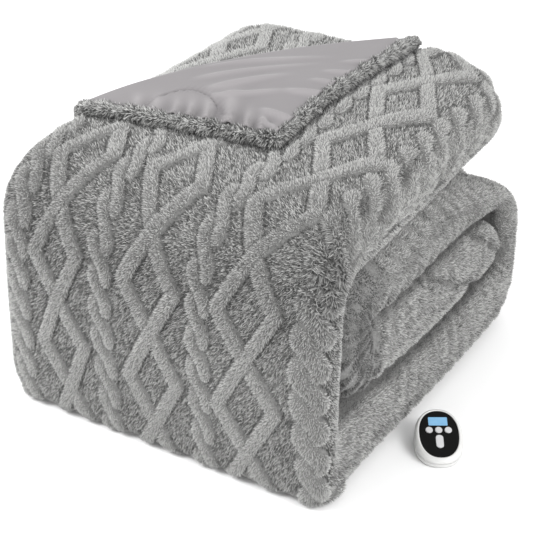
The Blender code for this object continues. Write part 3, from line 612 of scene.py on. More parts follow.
def inner_face(travel, across, raise_by=0.0):
    """The inner face: across runs -1 to 1 over its flat, and to -2 and 2 at its sides."""
    sign = np.where(across > 0, 1.0, -1.0)
    radius = side_round(travel, sign) * INNER_ROUND
    angle = np.clip(np.abs(across) - 1.0, 0.0, 1.0) * math.pi / 2.0
    flat = np.minimum(np.abs(across), 1.0) * (half_width(travel, sign) - radius)
    points, normal = face_frame(travel, sign * (flat + radius * np.sin(angle)), sign, angle,
                                "inner")
    raised = side_folds(length_at(travel), angle, sign) + raise_by
    return settle(points + normal * (raised - CREASE_DEPTH * side_troughs(points))[..., None])


# ------------------------------------------------------------------ meshes from arrays
def make_piece(name, points, faces, material, spots=None):
    """A smooth piece of points and arrays of faces, with a map of one spot a face corner."""
    corners = np.concatenate([group.ravel() for group in faces]).astype(np.int32)
    sizes = np.concatenate([np.full(len(group), group.shape[1]) for group in faces])
    mesh = bpy.data.meshes.new(name)
    mesh.vertices.add(len(points))
    mesh.vertices.foreach_set("co", np.asarray(points, np.float32).ravel())
    mesh.loops.add(len(corners))
    mesh.loops.foreach_set("vertex_index", corners)
    mesh.polygons.add(len(sizes))
    starts = np.concatenate(([0], np.cumsum(sizes)[:-1]))
    mesh.polygons.foreach_set("loop_start", starts.astype(np.int32))
    mesh.update(calc_edges=True)
    if spots is not None:
        layer = mesh.uv_layers.new(name="OFBake")
        layer.data.foreach_set("uv", np.asarray(spots, np.float32).ravel())
    mesh.materials.append(material)
    mesh.shade_smooth()
    made = bpy.data.objects.new(name, mesh)
    bpy.context.collection.objects.link(made)
    return made


def belongs(piece, replaced=None):
    """Puts a piece on the blanket's body, in place of a solid if one is named."""
    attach(piece, "set")
    if replaced:
        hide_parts(replaced)


def jittered(rows, columns, random):
    """The row and the column of each cell of a grid, and a random share of one more."""
    at_row = np.arange(rows)[:, None] + random.random((rows, columns))
    return at_row, np.arange(columns)[None, :] + random.random((rows, columns))


def grid_faces(numbers):
    """The squares of a grid of point numbers."""
    return np.stack((numbers[:-1, :-1], numbers[:-1, 1:], numbers[1:, 1:], numbers[1:, :-1]),
                    axis=-1).reshape(-1, 4)


def turned_outwards(points, faces):
    """The faces, all turned round if the volume that they close comes out negative."""
    volume = 0.0
    for group in faces:
        first = points[group[:, 0]]
        for k in range(1, group.shape[1] - 1):
            second, third = points[group[:, k]], points[group[:, k + 1]]
            volume += float((first * np.cross(second, third)).sum())
    return faces if volume > 0 else [group[:, ::-1] for group in faces]


def slab(upper, lower):
    """Points and faces of a closed slab between two grids of points."""
    rows, columns = upper.shape[:2]
    numbers = np.arange(rows * columns).reshape(rows, columns)
    below = numbers + rows * columns
    points = np.concatenate((upper.reshape(-1, 3), lower.reshape(-1, 3)))
    faces = [grid_faces(numbers), grid_faces(below[:, ::-1])]
    for edge, under in ((numbers[0], below[0]), (numbers[-1][::-1], below[-1][::-1]),
                        (numbers[::-1, 0], below[::-1, 0]), (numbers[:, -1], below[:, -1])):
        faces.append(grid_faces(np.stack((under, edge))))
    return points, turned_outwards(points, faces)


# ------------------------------------------------------------------ the blanket's skin
def skin_rows():
    """Travel of the rows: close together where the pattern shows, wider in the folds."""
    face_end = float(length_at(FOOT + ARC_SHARE))
    lengths = np.concatenate((NOSE_LENGTH * np.array(NOSE_ROWS),
                              np.arange(NOSE_LENGTH, face_end, FACE_ROW)))
    rows = [travel_at(lengths)]
    for i in range(FOOT + 1, LAST + 1):
        start = i - 1 + ARC_SHARE
        end = float(i) if i == LAST else i - ARC_SHARE
        count = max(2, int(math.ceil(float(length_at(end) - length_at(start)) / FOLD_ROW)))
        rows.append(np.linspace(start, end, count + 1)[:-1])
        if i < LAST:
            rows.append(np.linspace(i - ARC_SHARE, i + ARC_SHARE, ARC_ROWS + 1)[:-1])
    return np.concatenate(rows + [[float(LAST)]])


def build_skin(material):
    """The folded cloth as one closed body: its outer face, its inner face and two ends."""
    travel = skin_rows()[:, None]
    share = np.linspace(-1.0, 1.0, OUTER_COLUMNS)[None, :]
    sign = np.where(share > 0, 1.0, -1.0)
    spread = np.broadcast_to(travel, (len(travel), OUTER_COLUMNS))
    across = share * widest(spread, np.broadcast_to(sign, spread.shape))
    outer = outer_face(spread, across, -SKIN_UNDER, SKIN_SHARE)
    inner_share = np.linspace(-2.0, 2.0, INNER_COLUMNS)[None, 1:-1]
    spread = np.broadcast_to(travel, (len(travel), inner_share.shape[1]))
    inner = inner_face(spread, np.broadcast_to(inner_share, spread.shape))
    numbers = np.arange(outer.shape[0] * outer.shape[1]).reshape(outer.shape[:2])
    inside = np.arange(inner.shape[0] * inner.shape[1]).reshape(inner.shape[:2]) + numbers.size
    inside = np.concatenate((numbers[:, :1], inside, numbers[:, -1:]), axis=1)
    points = np.concatenate((outer.reshape(-1, 3), inner.reshape(-1, 3)))
    points[:, 2] = np.maximum(points[:, 2], 0.0)
    first = np.concatenate((numbers[0], inside[0, 1:-1][::-1]))[None, ::-1]
    last = np.concatenate((numbers[-1], inside[-1, 1:-1][::-1]))[None, :]
    faces = [grid_faces(numbers), grid_faces(inside)[:, ::-1], first, last]
    skin = make_piece("blanket_cloth", points, turned_outwards(points, faces), material)
    belongs(skin, "blanket")


# ------------------------------------------------------------------ the pile
# How the pile looks: a lock's length and width, how far it leans in turns of a right angle,
# the size of the clumps that locks gather in, how strongly they gather, its brightness, and
# how much that varies.
Pile = namedtuple("Pile", "length width lean clump gather tone spread")
GROUND = Pile(0.0050, 0.0018, 0.32, 0.0025, 0.34, 0.45, 2.20)
RAISED = Pile(0.0031, 0.0019, 0.30, 0.0028, 0.20, 0.81, 0.80)
SIDE = Pile(0.0039, 0.0019, 0.34, 0.0034, 0.36, 0.54, 1.15)
BRUSHED = Pile(0.0058, 0.0022, 0.74, 0.0080, 0.20, 0.96, 0.34)
TUFT = Pile(0.0096, 0.0024, 0.45, 0.0110, 0.70, 0.62, 1.10)
CURLY = Pile(0.0066, 0.0027, 0.45, 0.0046, 0.80, 0.44, 1.80)
INNER_UNIT = 0.09
ROOT_DEPTH = 0.0018
# Of the clumps: how far in from its cell's edge a middle lies, and how much a clump and a lock
# turn away from the brushed way.
CLUMP_MARGIN = 0.25
CLUMP_TURN = 1.3
LOCK_TURN = 0.35
LEAN_SPREAD = 0.12
LEAN_RANGE = (0.05, 0.85)
LENGTH_RANGE = (0.75, 1.15)
TONE_RANGE = (0.02, 0.96)
CLUMP_SHARE = 0.28
LOCK_SHARE = 0.80
FLOOR_GAP = 0.0006
# A lock's spots on the map: the two at its root and the one at its tip, about its tone.
LOCK_SPOTS = ((-0.01, 0.02), (0.01, 0.02), (0.0, 0.98))
# Two slow waves that turn the pile: how strong, and their phase along, across and at 0.
BRUSH_WAVES = ((0.9, 7.1, 4.3, 0.4), (0.7, -6.0, 11.0, 1.9))
SCRAMBLE = (12.9898, 78.233, 37.719, 43758.5453)
MIDDLE_SEEDS = (5.0, 8.0)
TURN_SEED = 3.0
TONE_SEED = 13.0
# Small steps over the cloth by which its directions are found.
NUDGE = 0.0004
INNER_NUDGE = 0.004
LIFT = 0.002
LEAST_SQUARE = 0.3
# Where the pile starts over the floor and under the hem, and the spacing up to which its locks
# keep their own size.
FLOOR_CLEAR = 0.004
HEM_COVER = 0.012
FINE_SPACING = 0.0021
# How the pile changes with the pattern and towards the tuft, and how much paler the top is.
RAISED_SLOPE = 2.2
RAISED_START = 0.5
TUFT_SHARE = 1.2
TOP_PALER = 0.06
# Shade on the pile: how far a layer's edge shows before it, and the edges of the layers on
# the right side, from a Y and a Z to another.
HIDDEN_RIM = 0.010
HIDDEN_SOFT = 0.022
HIDDEN_SHADE = 0.50
HIDDEN_EVEN = 0.55
HIDDEN_SHORT = 0.35
UNDER_TOP = 5.6
UNDER_TOP_SOFT = 0.2
LAYER_EDGES = ((-0.150, 0.208, 0.120, 0.209), (0.120, 0.209, 0.236, 0.226),
               (-0.245, 0.160, -0.150, 0.106), (-0.150, 0.100, 0.230, 0.100),
               (0.230, 0.100, 0.262, 0.150))
EDGE_WIDTH = 0.0065
EDGE_SHADE = 0.9
EDGES_UNDER = 0.32
BEHIND_FRONT = -0.125
BEHIND_SOFT = 0.05
BEHIND_SHADE = 1.00
# Cloudy patches: how strong, how fast they come along Y and Z and wander, and how far.
PATCHES = 0.22
PATCH_RATES = ((61.0, 47.0, 39.0), (-38.0, 53.0, 45.0))
PATCH_WANDER = 2.0
# Shade in front of the hem, and round the foot of the raised pattern.
UNDER_HEM = 0.022
UNDER_HEM_SHADE = 0.60
FOOT_SHADE = 0.62
FOOT_GROW = 1.28
FOOT_SLOPE = 2.0
FOOT_EVEN = 0.5
# The pile is darker round the brow and a little paler low on the front, as in the photo.
# Painted light and shade: the pile's colour is darkened round the brow as painted shade, and
# lifted low on the front as painted light.
FRONT_LENGTHS = (0.42, 0.55, 0.66, 0.78, 1.10)
FRONT_LIGHT_AND_SHADE = (0.0, -0.26, -0.20, 0.02, 0.12)
# Painted shade on the front's rounded right edge, which lies in shade: where it starts across, how
# soft it comes in, how soft below the brow, and how dark.
EDGE_FROM = 0.262
EDGE_SOFT = 0.03
EDGE_BELOW_SOFT = 0.08
FRONT_EDGE_SHADE = 0.30

# A stretch of the folded cloth that carries pile: which face, from where to where along and
# across, as shares of the widest or of the inner face's own count, and the roots' spacing.
Stretch = namedtuple("Stretch", "name face start end left right spacing")
STRETCHES = (
    Stretch("pile_top_left", "outer", 0.0, 1.75, -1.0, 0.10, 0.0024),
    Stretch("pile_top_right", "outer", 0.0, 1.75, 0.10, 1.0, 0.0019),
    Stretch("pile_front_left", "outer", 1.75, 3.25, -1.0, 0.0, 0.0018),
    Stretch("pile_front_right", "outer", 1.75, 3.25, 0.0, 1.0, 0.0018),
    Stretch("pile_back", "outer", 3.75, 5.45, -0.74, 0.70, 0.0046),
    Stretch("pile_right_outer", "outer", 3.25, 10.0, 0.72, 1.0, 0.0025),
    Stretch("pile_right_inner", "inner", 0.0, 10.0, 0.92, 2.0, 0.0025),
    Stretch("pile_left_outer", "outer", 3.25, 10.0, -1.0, -0.74, 0.0042),
    Stretch("pile_left_inner", "inner", 0.0, 10.0, -2.0, -0.95, 0.0042),
)


def scramble(first, second, seed):
    """A number from 0 to 1 for each pair of whole numbers: the end of a large sine."""
    by_first, by_second, by_seed, size = SCRAMBLE
    value = np.sin(first * by_first + second * by_second + seed * by_seed) * size
    return value - np.floor(value)


def brushed(length, across):
    """Which way the pile is brushed, in radians from down the cloth: slow sines."""
    return sum(strong * np.sin(by_length * length + by_across * across + start)
               for strong, by_length, by_across, start in BRUSH_WAVES)


def nearby_shade(root, travel, face):
    """How deep a place lies between two layers, or behind the front layer: 0 to 1."""
    sign = np.where(root[:, 0] > 0, 1.0, -1.0)
    inwards = smooth_step((half_width(travel, sign) - HIDDEN_RIM - np.abs(root[:, 0]))
                          / HIDDEN_SOFT)
    if face == "outer":
        inwards = inwards * rise(travel, UNDER_TOP, UNDER_TOP_SOFT)
    line = line_distance(root[:, 1], root[:, 2], LAYER_EDGES, EDGE_WIDTH)
    behind = fall(root[:, 1], BEHIND_FRONT, BEHIND_SOFT) * (travel > UNDER_TOP)
    right = rise(root[:, 0], CREASES_FROM_X, CREASES_SOFT)
    right = right * (root[:, 2] < EDGES_UNDER)
    return np.clip(inwards + right * (EDGE_SHADE * line + BEHIND_SHADE * behind), 0.0, 1.0)


def patches(y, z):
    """Cloudy patches in Y and Z: the product of two sines whose phase wanders."""
    (first_y, first_z, by_z), (second_y, second_z, by_y) = PATCH_RATES
    first = np.sin(first_y * y + first_z * z + PATCH_WANDER * np.sin(by_z * z))
    return first * np.sin(second_y * y + second_z * z + PATCH_WANDER * np.sin(by_y * y))


def column(values):
    """A row of numbers stood up, to multiply points by."""
    return values[:, None]


def lock_mesh(root, normal, down, side, place, pile, random):
    """Three-sided locks of pile, each a cone on the cloth with its tip leaning over.

    The tip is the root, plus the length times the leaning way, plus a share of the way to
    the middle of the clump that the root lies in.
    """
    count = len(root)
    cell = np.floor(place / column(pile.clump))
    shift = np.stack([scramble(cell[:, 0], cell[:, 1], seed) for seed in MIDDLE_SEEDS], axis=1)
    middle = (cell + CLUMP_MARGIN + (1.0 - 2.0 * CLUMP_MARGIN) * shift) * column(pile.clump)
    clump_turn = scramble(cell[:, 0], cell[:, 1], TURN_SEED) * 2.0 - 1.0
    heading = brushed(place[:, 0], place[:, 1]) + CLUMP_TURN * clump_turn
    heading = heading + random.normal(0.0, LOCK_TURN, count)
    lean = np.clip(pile.lean + random.normal(0.0, LEAN_SPREAD, count), *LEAN_RANGE)
    lean = lean * math.pi / 2.0
    flat = down * column(np.cos(heading)) + side * column(np.sin(heading))
    way = normal * column(np.cos(lean)) + flat * column(np.sin(lean))
    length = pile.length * random.uniform(*LENGTH_RANGE, count)
    to_middle = (middle - place) * column(pile.gather)
    tip = root + way * column(length) + down * to_middle[:, :1] + side * to_middle[:, 1:]
    turn = random.uniform(0.0, 2.0 * math.pi, count)
    corners = []
    for k in range(3):
        angle = turn + k * 2.0 * math.pi / 3.0
        out = down * column(np.cos(angle)) + side * column(np.sin(angle))
        corners.append(root + out * column(pile.width / 2.0) - normal * ROOT_DEPTH)
    points = np.stack(corners + [tip], axis=1).reshape(-1, 3)
    points[:, 2] = np.maximum(points[:, 2], FLOOR_GAP)
    first = 4 * np.arange(count)[:, None, None]
    faces = (first + np.array(((0, 1, 3), (1, 2, 3), (2, 0, 3)))).reshape(-1, 3)
    uneven = (CLUMP_SHARE * (scramble(cell[:, 0], cell[:, 1], TONE_SEED) - 0.5)
              + LOCK_SHARE * (random.random(count) - 0.5))
    bright = np.clip(pile.tone + pile.spread * uneven, *TONE_RANGE)
    spots = np.broadcast_to(np.array(LOCK_SPOTS), (count, 3, 3, 2)).copy()
    spots[..., 0] += bright[:, None, None]
    return points, faces, spots.reshape(-1, 2)


def mixed_pile(share, first, second):
    """The pile at each root, blended from one kind to another by a share."""
    return Pile(*(a + (b - a) * share for a, b in zip(first, second)))


def stretch_roots(stretch, random):
    """Jittered rows of roots over a stretch: their travel, their across, and their place."""
    start, end = float(length_at(stretch.start)), float(length_at(stretch.end))
    rows = int((end - start) / stretch.spacing)
    middle = np.full(rows, 0.0) + travel_at(start + (np.arange(rows) + 0.5) * stretch.spacing)
    sign = 1.0 if stretch.right > 0 else -1.0
    reach = float(np.median(widest(middle, np.full(rows, sign))))
    one_share = reach if stretch.face == "outer" else INNER_UNIT
    columns = int((stretch.right - stretch.left) * one_share / stretch.spacing)
    at_row, at_column = jittered(rows, columns, random)
    length = start + at_row * (end - start) / rows
    share = stretch.left + at_column * (stretch.right - stretch.left) / columns
    travel = travel_at(length).ravel()
    share = share.ravel()
    if stretch.face == "outer":
        share = share * widest(travel, np.where(share > 0, 1.0, -1.0))
        one_share = 1.0
    return travel, share, np.stack((length.ravel(), share * one_share), axis=1)


def front_light_and_shade(length, across):
    """How much paler or darker the pile is painted along the front, as painted light and shade,
    and darker round its right edge, as painted shade.
    """
    edge = rise(across, EDGE_FROM, EDGE_SOFT)
    edge = edge * rise(length, TOP_FROM, EDGE_BELOW_SOFT)
    return np.interp(length, FRONT_LENGTHS, FRONT_LIGHT_AND_SHADE) - FRONT_EDGE_SHADE * edge


def patterned_pile(ground, root, length, across):
    """The outer face's pile: short and bright on the pattern, with painted shade round its foot.

    It lies flat on the right side of the top, long in the tuft, and darkened under the hem by
    painted shadow.
    """
    shown = pattern_mask(root, length)
    raised = smooth_step(pattern(length, across) * RAISED_SLOPE - RAISED_START) * shown
    foot = smooth_step(pattern(length, across, FOOT_GROW) * FOOT_SLOPE) * shown * (1.0 - raised)
    pile = mixed_pile(raised, ground, RAISED)
    pile = pile._replace(tone=pile.tone - FOOT_SHADE * foot,
                         spread=pile.spread * (1.0 - FOOT_EVEN * foot))
    pile = mixed_pile(brushed_flat(length, across), pile, BRUSHED)
    pile = mixed_pile(np.clip(TUFT_SHARE * tufted(length, across), 0.0, 1.0), pile, TUFT)
    under_hem = under_flap(root, UNDER_HEM) * (length < TOP_FROM)
    return pile._replace(tone=pile.tone - CREASE_SHADE * top_troughs(length, across)
                         + REAR_PALER * behind_corner(length, across)
                         + TOP_PALER * on_top(length) * (1.0 - raised)
                         + front_light_and_shade(length, across) - UNDER_HEM_SHADE * under_hem)


def sheltered_pile(pile, root, travel, face):
    """The lower layers' pile: patchy, and short, even and darkened by painted shade where it lies
    deep.
    """
    dark = nearby_shade(root, travel, face) + PATCHES * patches(root[:, 1], root[:, 2])
    deep = np.clip(dark, 0.0, 1.0)
    return pile._replace(tone=pile.tone - HIDDEN_SHADE * dark,
                         spread=pile.spread * (1.0 - HIDDEN_EVEN * deep),
                         length=pile.length * (1.0 - HIDDEN_SHORT * deep))


def build_pile(stretch, seed, material):
    """The pile of one stretch, its locks wider and longer where they stand further apart."""
    random = np.random.default_rng(seed)
    travel, across, place = stretch_roots(stretch, random)
    outer = stretch.face == "outer"
    face = outer_face if outer else inner_face
    length = length_at(travel)
    root = face(travel, across)
    down = unit(face(travel_at(length + NUDGE), across) - root)
    side = unit(face(travel, across + (NUDGE if outer else INNER_NUDGE)) - root)
    normal = np.cross(down, side)
    away = face(travel, across, LIFT) - root
    normal *= column(np.sign((normal * away).sum(axis=1)))
    size = np.linalg.norm(normal, axis=1)
    normal = unit(normal)
    keep = (size > LEAST_SQUARE) & (root[:, 2] > FLOOR_CLEAR)
    upper = outer and stretch.start <= FOOT - 1 + ARC_SHARE
    ground = GROUND if upper else SIDE
    if outer:
        keep &= under_flap(root, -HEM_COVER) < 0.5
        pile = patterned_pile(ground, root, length, across)
    else:
        pile = Pile(*(np.full(len(root), value) for value in ground))
    pile = pile._replace(tone=pile.tone - CREASE_SHADE * side_troughs(root))
    if not upper:
        pile = sheltered_pile(pile, root, travel, stretch.face)
    coarse = max(1.0, stretch.spacing / FINE_SPACING)
    pile = pile._replace(width=pile.width * coarse, length=pile.length * coarse ** 0.5)
    kept = [values[keep] for values in (root, normal, down, side, place)]
    points, faces, spots = lock_mesh(*kept, Pile(*(values[keep] for values in pile)), random)
    belongs(make_piece(stretch.name, points, [faces], material, spots))


# ------------------------------------------------------------------ the turned-down corner
def top_height(x, y):
    """Height of the top's plain surface, its drop at the sides limited, for the corner."""
    top = TRAVEL < BROW + ARC_SHARE
    order = np.argsort(OUTER[top][:, 0])
    height = np.interp(y, OUTER[top][order, 0], OUTER[top][order, 1])
    over = np.clip((np.abs(x) - HALF_WIDTH + SECTION[1].side) / SECTION[1].side, 0.0, 1.0)
    height = height - FLAP_DROOP * over ** 2
    height = height - CROWN_ACROSS * (x / HALF_WIDTH) ** 2
    return height + wave(WAVE_Z, x, y, height)


def flap_middle(share, over):
    """Middle of the turned ply and its lining side's normal: half a turn back on itself."""
    turn = np.clip(over / FLAP_ROLL, 0.0, math.pi)
    ahead = np.abs(over - turn * FLAP_ROLL) - FLAP_ROLL * np.sin(turn) - fold_bow(share)
    plan = FOLD_LEFT + share[..., None] * FOLD_CHORD + ahead[..., None] * FOLD_FRONT
    height = top_height(plan[..., 0], plan[..., 1]) - PLY / 2.0
    height = height + FLAP_ROLL * (1.0 - np.cos(turn))
    level = -np.sin(turn)[..., None] * FOLD_FRONT
    normal = np.concatenate((level, -np.cos(turn)[..., None]), axis=-1)
    return np.concatenate((plan, height[..., None]), axis=-1), normal


def flap_edge(share, over):
    """Distance from the corner's free edges, over the cloth."""
    return (math.pi * FLAP_ROLL + flap_reach(share) - over) * HEM_ANGLE


def flap_side(share, over, out, extra=0.0):
    """The lining side (out 1) or the pile side (out -1) of the turned ply."""
    middle, normal = flap_middle(share, over)
    edge = flap_edge(share, over)
    near = np.clip(edge / HEM_EDGE, 0.0, 1.0)
    round_off = HEM_TIP + (1.0 - HEM_TIP) * np.sqrt(1.0 - (1.0 - near) ** 2)
    thick = PLY / 2.0
    if out > 0:
        thick = thick + HEM_EXTRA * fall(edge, HEM_WIDTH, HEM_RISE)
    root = 1.0 - ROOT_THIN * (1.0 - smooth_step(over / FLAP_ROLL))
    return middle + normal * (out * thick * round_off * root + extra)[..., None]


def build_flap(material):
    """The turned ply, from its root inside the top to the free edges of its hem."""
    share = np.linspace(0.0, 1.0, FLAP_LINES)[:, None]
    roll = math.pi * FLAP_ROLL
    reach = np.maximum(flap_reach(share), FLAP_SHORTEST)
    step = np.linspace(0.0, 1.0, FLAP_ROWS)[None, :]
    start = np.full_like(reach, -FLAP_ROOT)
    over = start + (roll + reach - start) * (1.0 - (1.0 - step) ** FLAP_CROWDING)
    share = np.broadcast_to(share, over.shape)
    points, faces = slab(flap_side(share, over, 1), flap_side(share, over, -1))
    belongs(make_piece("turned_corner", points, faces, material))


# The hem's pile: where it starts and ends on the rim, how close its rows are, how lumpy it
# is, how far from the fold's ends it comes to its full length, and its shade at the seam with
# the lining and on the underside.
HEM_SEED = 41
HEM_ENDS = 0.012
HEM_CROWDING = 1.7
HEM_STRETCH = 1.6
HEM_LUMP = 0.30
HEM_LUMP_PITCHES = (0.0062, 0.0151)
HEM_FULL = 0.030
HEM_SHORTEST = 0.35
HEM_SEAM_SHADE = 0.30
HEM_SEAM_TURN = 0.35
HEM_SEAM_SOFT = 0.5
HEM_LOW_SHADE = 0.10
HEM_LOW_TURN = 2.1
HEM_LOW_SOFT = 0.9


def rim_outwards(share):
    """Which way the corner's free edge faces, turned softly round its tip."""
    tip_share = fold_coordinates(*FLAP_TIP)[0]
    ways = []
    for start, end in ((FOLD_LEFT, FLAP_TIP), (FLAP_TIP, FOLD_REAR)):
        line = unit(end - start)
        ways.append(np.array((line[1], -line[0], 0.0)))
    turned = column(smooth_step((share - tip_share) / TIP_ROUND + 0.5))
    return unit(ways[0] * (1.0 - turned) + ways[1] * turned)


def build_hem_pile(material):
    """The curly pile round the corner's rim, from the lining's edge to the underside.

    A root lies on a tube round the rim, whose radius has lumps: a product of two sines.
    """
    random = np.random.default_rng(HEM_SEED)
    columns = int(HEM_CROWDING * FOLD_REACH / RIM_SPACING)
    rows = int((RIM_TO - RIM_FROM) * RIM_RADIUS / RIM_SPACING)
    share, turn = jittered(columns, rows, random)
    share = (HEM_ENDS + (1.0 - 2.0 * HEM_ENDS) * share / columns).ravel()
    turn = RIM_FROM + (RIM_TO - RIM_FROM) * (turn / rows).ravel()
    reach = np.maximum(flap_reach(share), FLAP_SHORTEST)
    over = math.pi * FLAP_ROLL + np.maximum(reach - RIM_INSET / HEM_ANGLE, 0.0)
    centre, up = flap_middle(share, over)
    out = rim_outwards(share)
    normal = out * column(np.sin(turn)) + up * column(np.cos(turn))
    down = out * column(np.cos(turn)) - up * column(np.sin(turn))
    short, long = HEM_LUMP_PITCHES
    run = share * FOLD_REACH
    lump = 1.0 + HEM_LUMP * np.sin(run / short) * np.sin(run / long + 1.0)
    root = centre + normal * column(RIM_RADIUS * lump)
    place = np.stack((turn * RIM_RADIUS, run * HEM_STRETCH), axis=1)
    full = smooth_step(reach / HEM_FULL)
    pile = Pile(*(np.full(len(root), value) for value in CURLY))
    pile = pile._replace(
        length=pile.length * (HEM_SHORTEST + (1.0 - HEM_SHORTEST) * full),
        tone=pile.tone - HEM_LOW_SHADE * rise(turn, HEM_LOW_TURN, HEM_LOW_SOFT)
        - HEM_SEAM_SHADE * fall(turn, HEM_SEAM_TURN, HEM_SEAM_SOFT))
    points, faces, spots = lock_mesh(root, normal, down, np.cross(down, normal), place, pile,
                                     random)
    belongs(make_piece("pile_hem", points, [faces], material, spots))


# ---- the creases of the lining, in metres over the top
# A gather at the front hem: its place along X, how wide it is, how high, and how far it runs.
Gather = namedtuple("Gather", "x width height run")
GATHERS = (
    Gather(-0.150, 0.006, 0.0030, 0.024),
    Gather(-0.118, 0.007, 0.0036, 0.030),
    Gather(-0.086, 0.005, 0.0046, 0.034),
    Gather(-0.062, 0.005, 0.0052, 0.038),
    Gather(-0.034, 0.006, 0.0060, 0.048),
    Gather(0.000, 0.007, 0.0068, 0.062),
    Gather(0.028, 0.005, 0.0056, 0.044),
    Gather(0.050, 0.004, 0.0056, 0.034),
)
# A long soft crease: where it starts and ends, how wide it is and how high.
Crease = namedtuple("Crease", "x y to_x to_y width height")
CREASES = (
    Crease(-0.137, 0.019, 0.032, 0.144, 0.008, 0.0042),
    Crease(-0.109, -0.009, 0.025, 0.111, 0.007, 0.0038),
    Crease(-0.078, -0.030, 0.008, 0.056, 0.008, 0.0052),
    Crease(-0.060, -0.050, 0.040, 0.010, 0.007, 0.0044),
    Crease(0.066, -0.104, 0.026, -0.080, 0.005, 0.0070),
    Crease(0.064, -0.070, 0.006, -0.058, 0.006, 0.0068),
    Crease(0.068, 0.008, 0.010, -0.004, 0.007, 0.0066),
    Crease(0.068, 0.050, 0.024, 0.044, 0.006, 0.0046),
    Crease(0.070, 0.094, 0.024, 0.078, 0.006, 0.0050),
    Crease(0.072, 0.150, 0.030, 0.120, 0.006, 0.0044),
)
GATHER_GROW = 1.35
GATHER_TROUGH = 0.75
GATHER_LEAN = 0.60
GATHER_ASIDE = 1.7
CREASE_RISE = (4.0, 0.6)
CREASE_FALL = 1.6
SEAM_FROM = -0.140
SEAM_TO = 0.006
SEAM_HEIGHT = 0.067
SEAM_BEND = 0.53
SEAM_DEPTH = 0.0032
SEAM_WIDTH = 0.0022
CREASE_SHARE = 0.006
PUCKER_PITCH = 0.0085
PUCKER_SHARE = 0.35
PUCKER_REACH = 0.010
HEM_LINE_Y = -0.113
LINING_EDGE = 0.007
LINING_LINES = 150
LINING_ROWS = 110
LINING_FLAT_RUN = 0.02
LINING_UNDER_SHARE = 0.6


def seam_distance(x, y):
    """Distance, up and down the cloth, from the arched seam: a leaning half sine."""
    part = np.clip((x - SEAM_FROM) / (SEAM_TO - SEAM_FROM), 0.0, 1.0)
    arch = SEAM_HEIGHT * np.sin(math.pi * part ** SEAM_BEND)
    inside = (x > SEAM_FROM) & (x < SEAM_TO)
    return np.where(inside, y - HEM_LINE_Y - arch, 1.0)


def lining_relief(x, y):
    """Height of the lining's creases: bells across each, which fade along it."""
    height = np.zeros_like(x)
    from_hem = np.clip(y - HEM_LINE_Y, 0.0, None)
    for gather in GATHERS:
        spread = gather.width * (1.0 + from_hem / gather.run)
        aside = x - gather.x + GATHER_LEAN * from_hem
        ridge = GATHER_GROW * bell(aside, spread)
        ridge = ridge - GATHER_TROUGH * bell(aside - GATHER_ASIDE * spread, spread)
        height = height + gather.height * ridge * bell(from_hem, gather.run)
    steep, late = CREASE_RISE
    for crease in CREASES:
        run, climb = crease.to_x - crease.x, crease.to_y - crease.y
        size = math.hypot(run, climb)
        share = ((x - crease.x) * run + (y - crease.y) * climb) / size ** 2
        aside = ((x - crease.x) * climb - (y - crease.y) * run) / size
        fade = smooth_step(share * steep + late) * smooth_step((1.0 - share) * CREASE_FALL)
        height = height + crease.height * fade * bell(aside, crease.width)
    seam = seam_distance(x, y)
    pucker = np.cos(2.0 * math.pi * x / PUCKER_PITCH) * bell(seam, PUCKER_REACH)
    return height - SEAM_DEPTH * (bell(seam, SEAM_WIDTH) - PUCKER_SHARE * pucker)


def build_lining(material):
    """The smooth backing, over the roll of the fold and the turned corner to its hem."""
    tip, depth = fold_coordinates(*FLAP_TIP)
    bare = LINING_SHORTEST / depth
    share = np.linspace(bare * tip, 1.0 - bare * (1.0 - tip), LINING_LINES)[:, None]
    reach = np.maximum(flap_reach(share), FLAP_SHORTEST)
    hem = LINING_EDGE / HEM_ANGLE
    roll = math.pi * FLAP_ROLL
    step = np.linspace(0.0, 1.0, LINING_ROWS)[None, :]
    over = roll / 2.0 + (roll / 2.0 + reach - hem) * step
    share = np.broadcast_to(share, over.shape)
    plan = flap_middle(share, over)[0]
    flat_part = smooth_step((over - roll) / LINING_FLAT_RUN)
    crease = lining_relief(plan[..., 0], plan[..., 1]) * flat_part
    lift = LINING_UNDER_SHARE * np.maximum(crease, 0.0)
    lower = flap_side(share, over, 1, LINING_GAP + lift)
    upper = flap_side(share, over, 1, LINING_GAP + LINING_THICKNESS + crease)
    points, faces = slab(upper, lower)
    lining = make_piece("corner_lining", points, faces, material)
    # Painted shade for the lining: none on the creases' ridges, half on the flat, full in their
    # troughs.
    deep = np.clip(0.5 - crease / CREASE_SHARE, 0.0, 1.0).ravel()
    shade = lining.data.attributes.new("crease_shade", "FLOAT", "POINT")
    shade.data.foreach_set("value", np.concatenate((deep, deep)).astype(np.float32))
    belongs(lining, "lining")


# ------------------------------------------------------------------ shader maths
class Wire:
    """A socket of values, on which the usual signs add Math nodes."""

    def __init__(self, board, socket):
        self.board = board
        self.socket = socket

    def _math(self, operation, first, second):
        node = self.board.add("ShaderNodeMath", {"operation": operation}, {0: first, 1: second})
        return Wire(self.board, node.outputs[0])

    def __add__(self, other):
        return self._math("ADD", self, other)

    __radd__ = __add__

    def __mul__(self, other):
        return self._math("MULTIPLY", self, other)

    __rmul__ = __mul__

    def __pow__(self, other):
        return self._math("POWER", self, other)


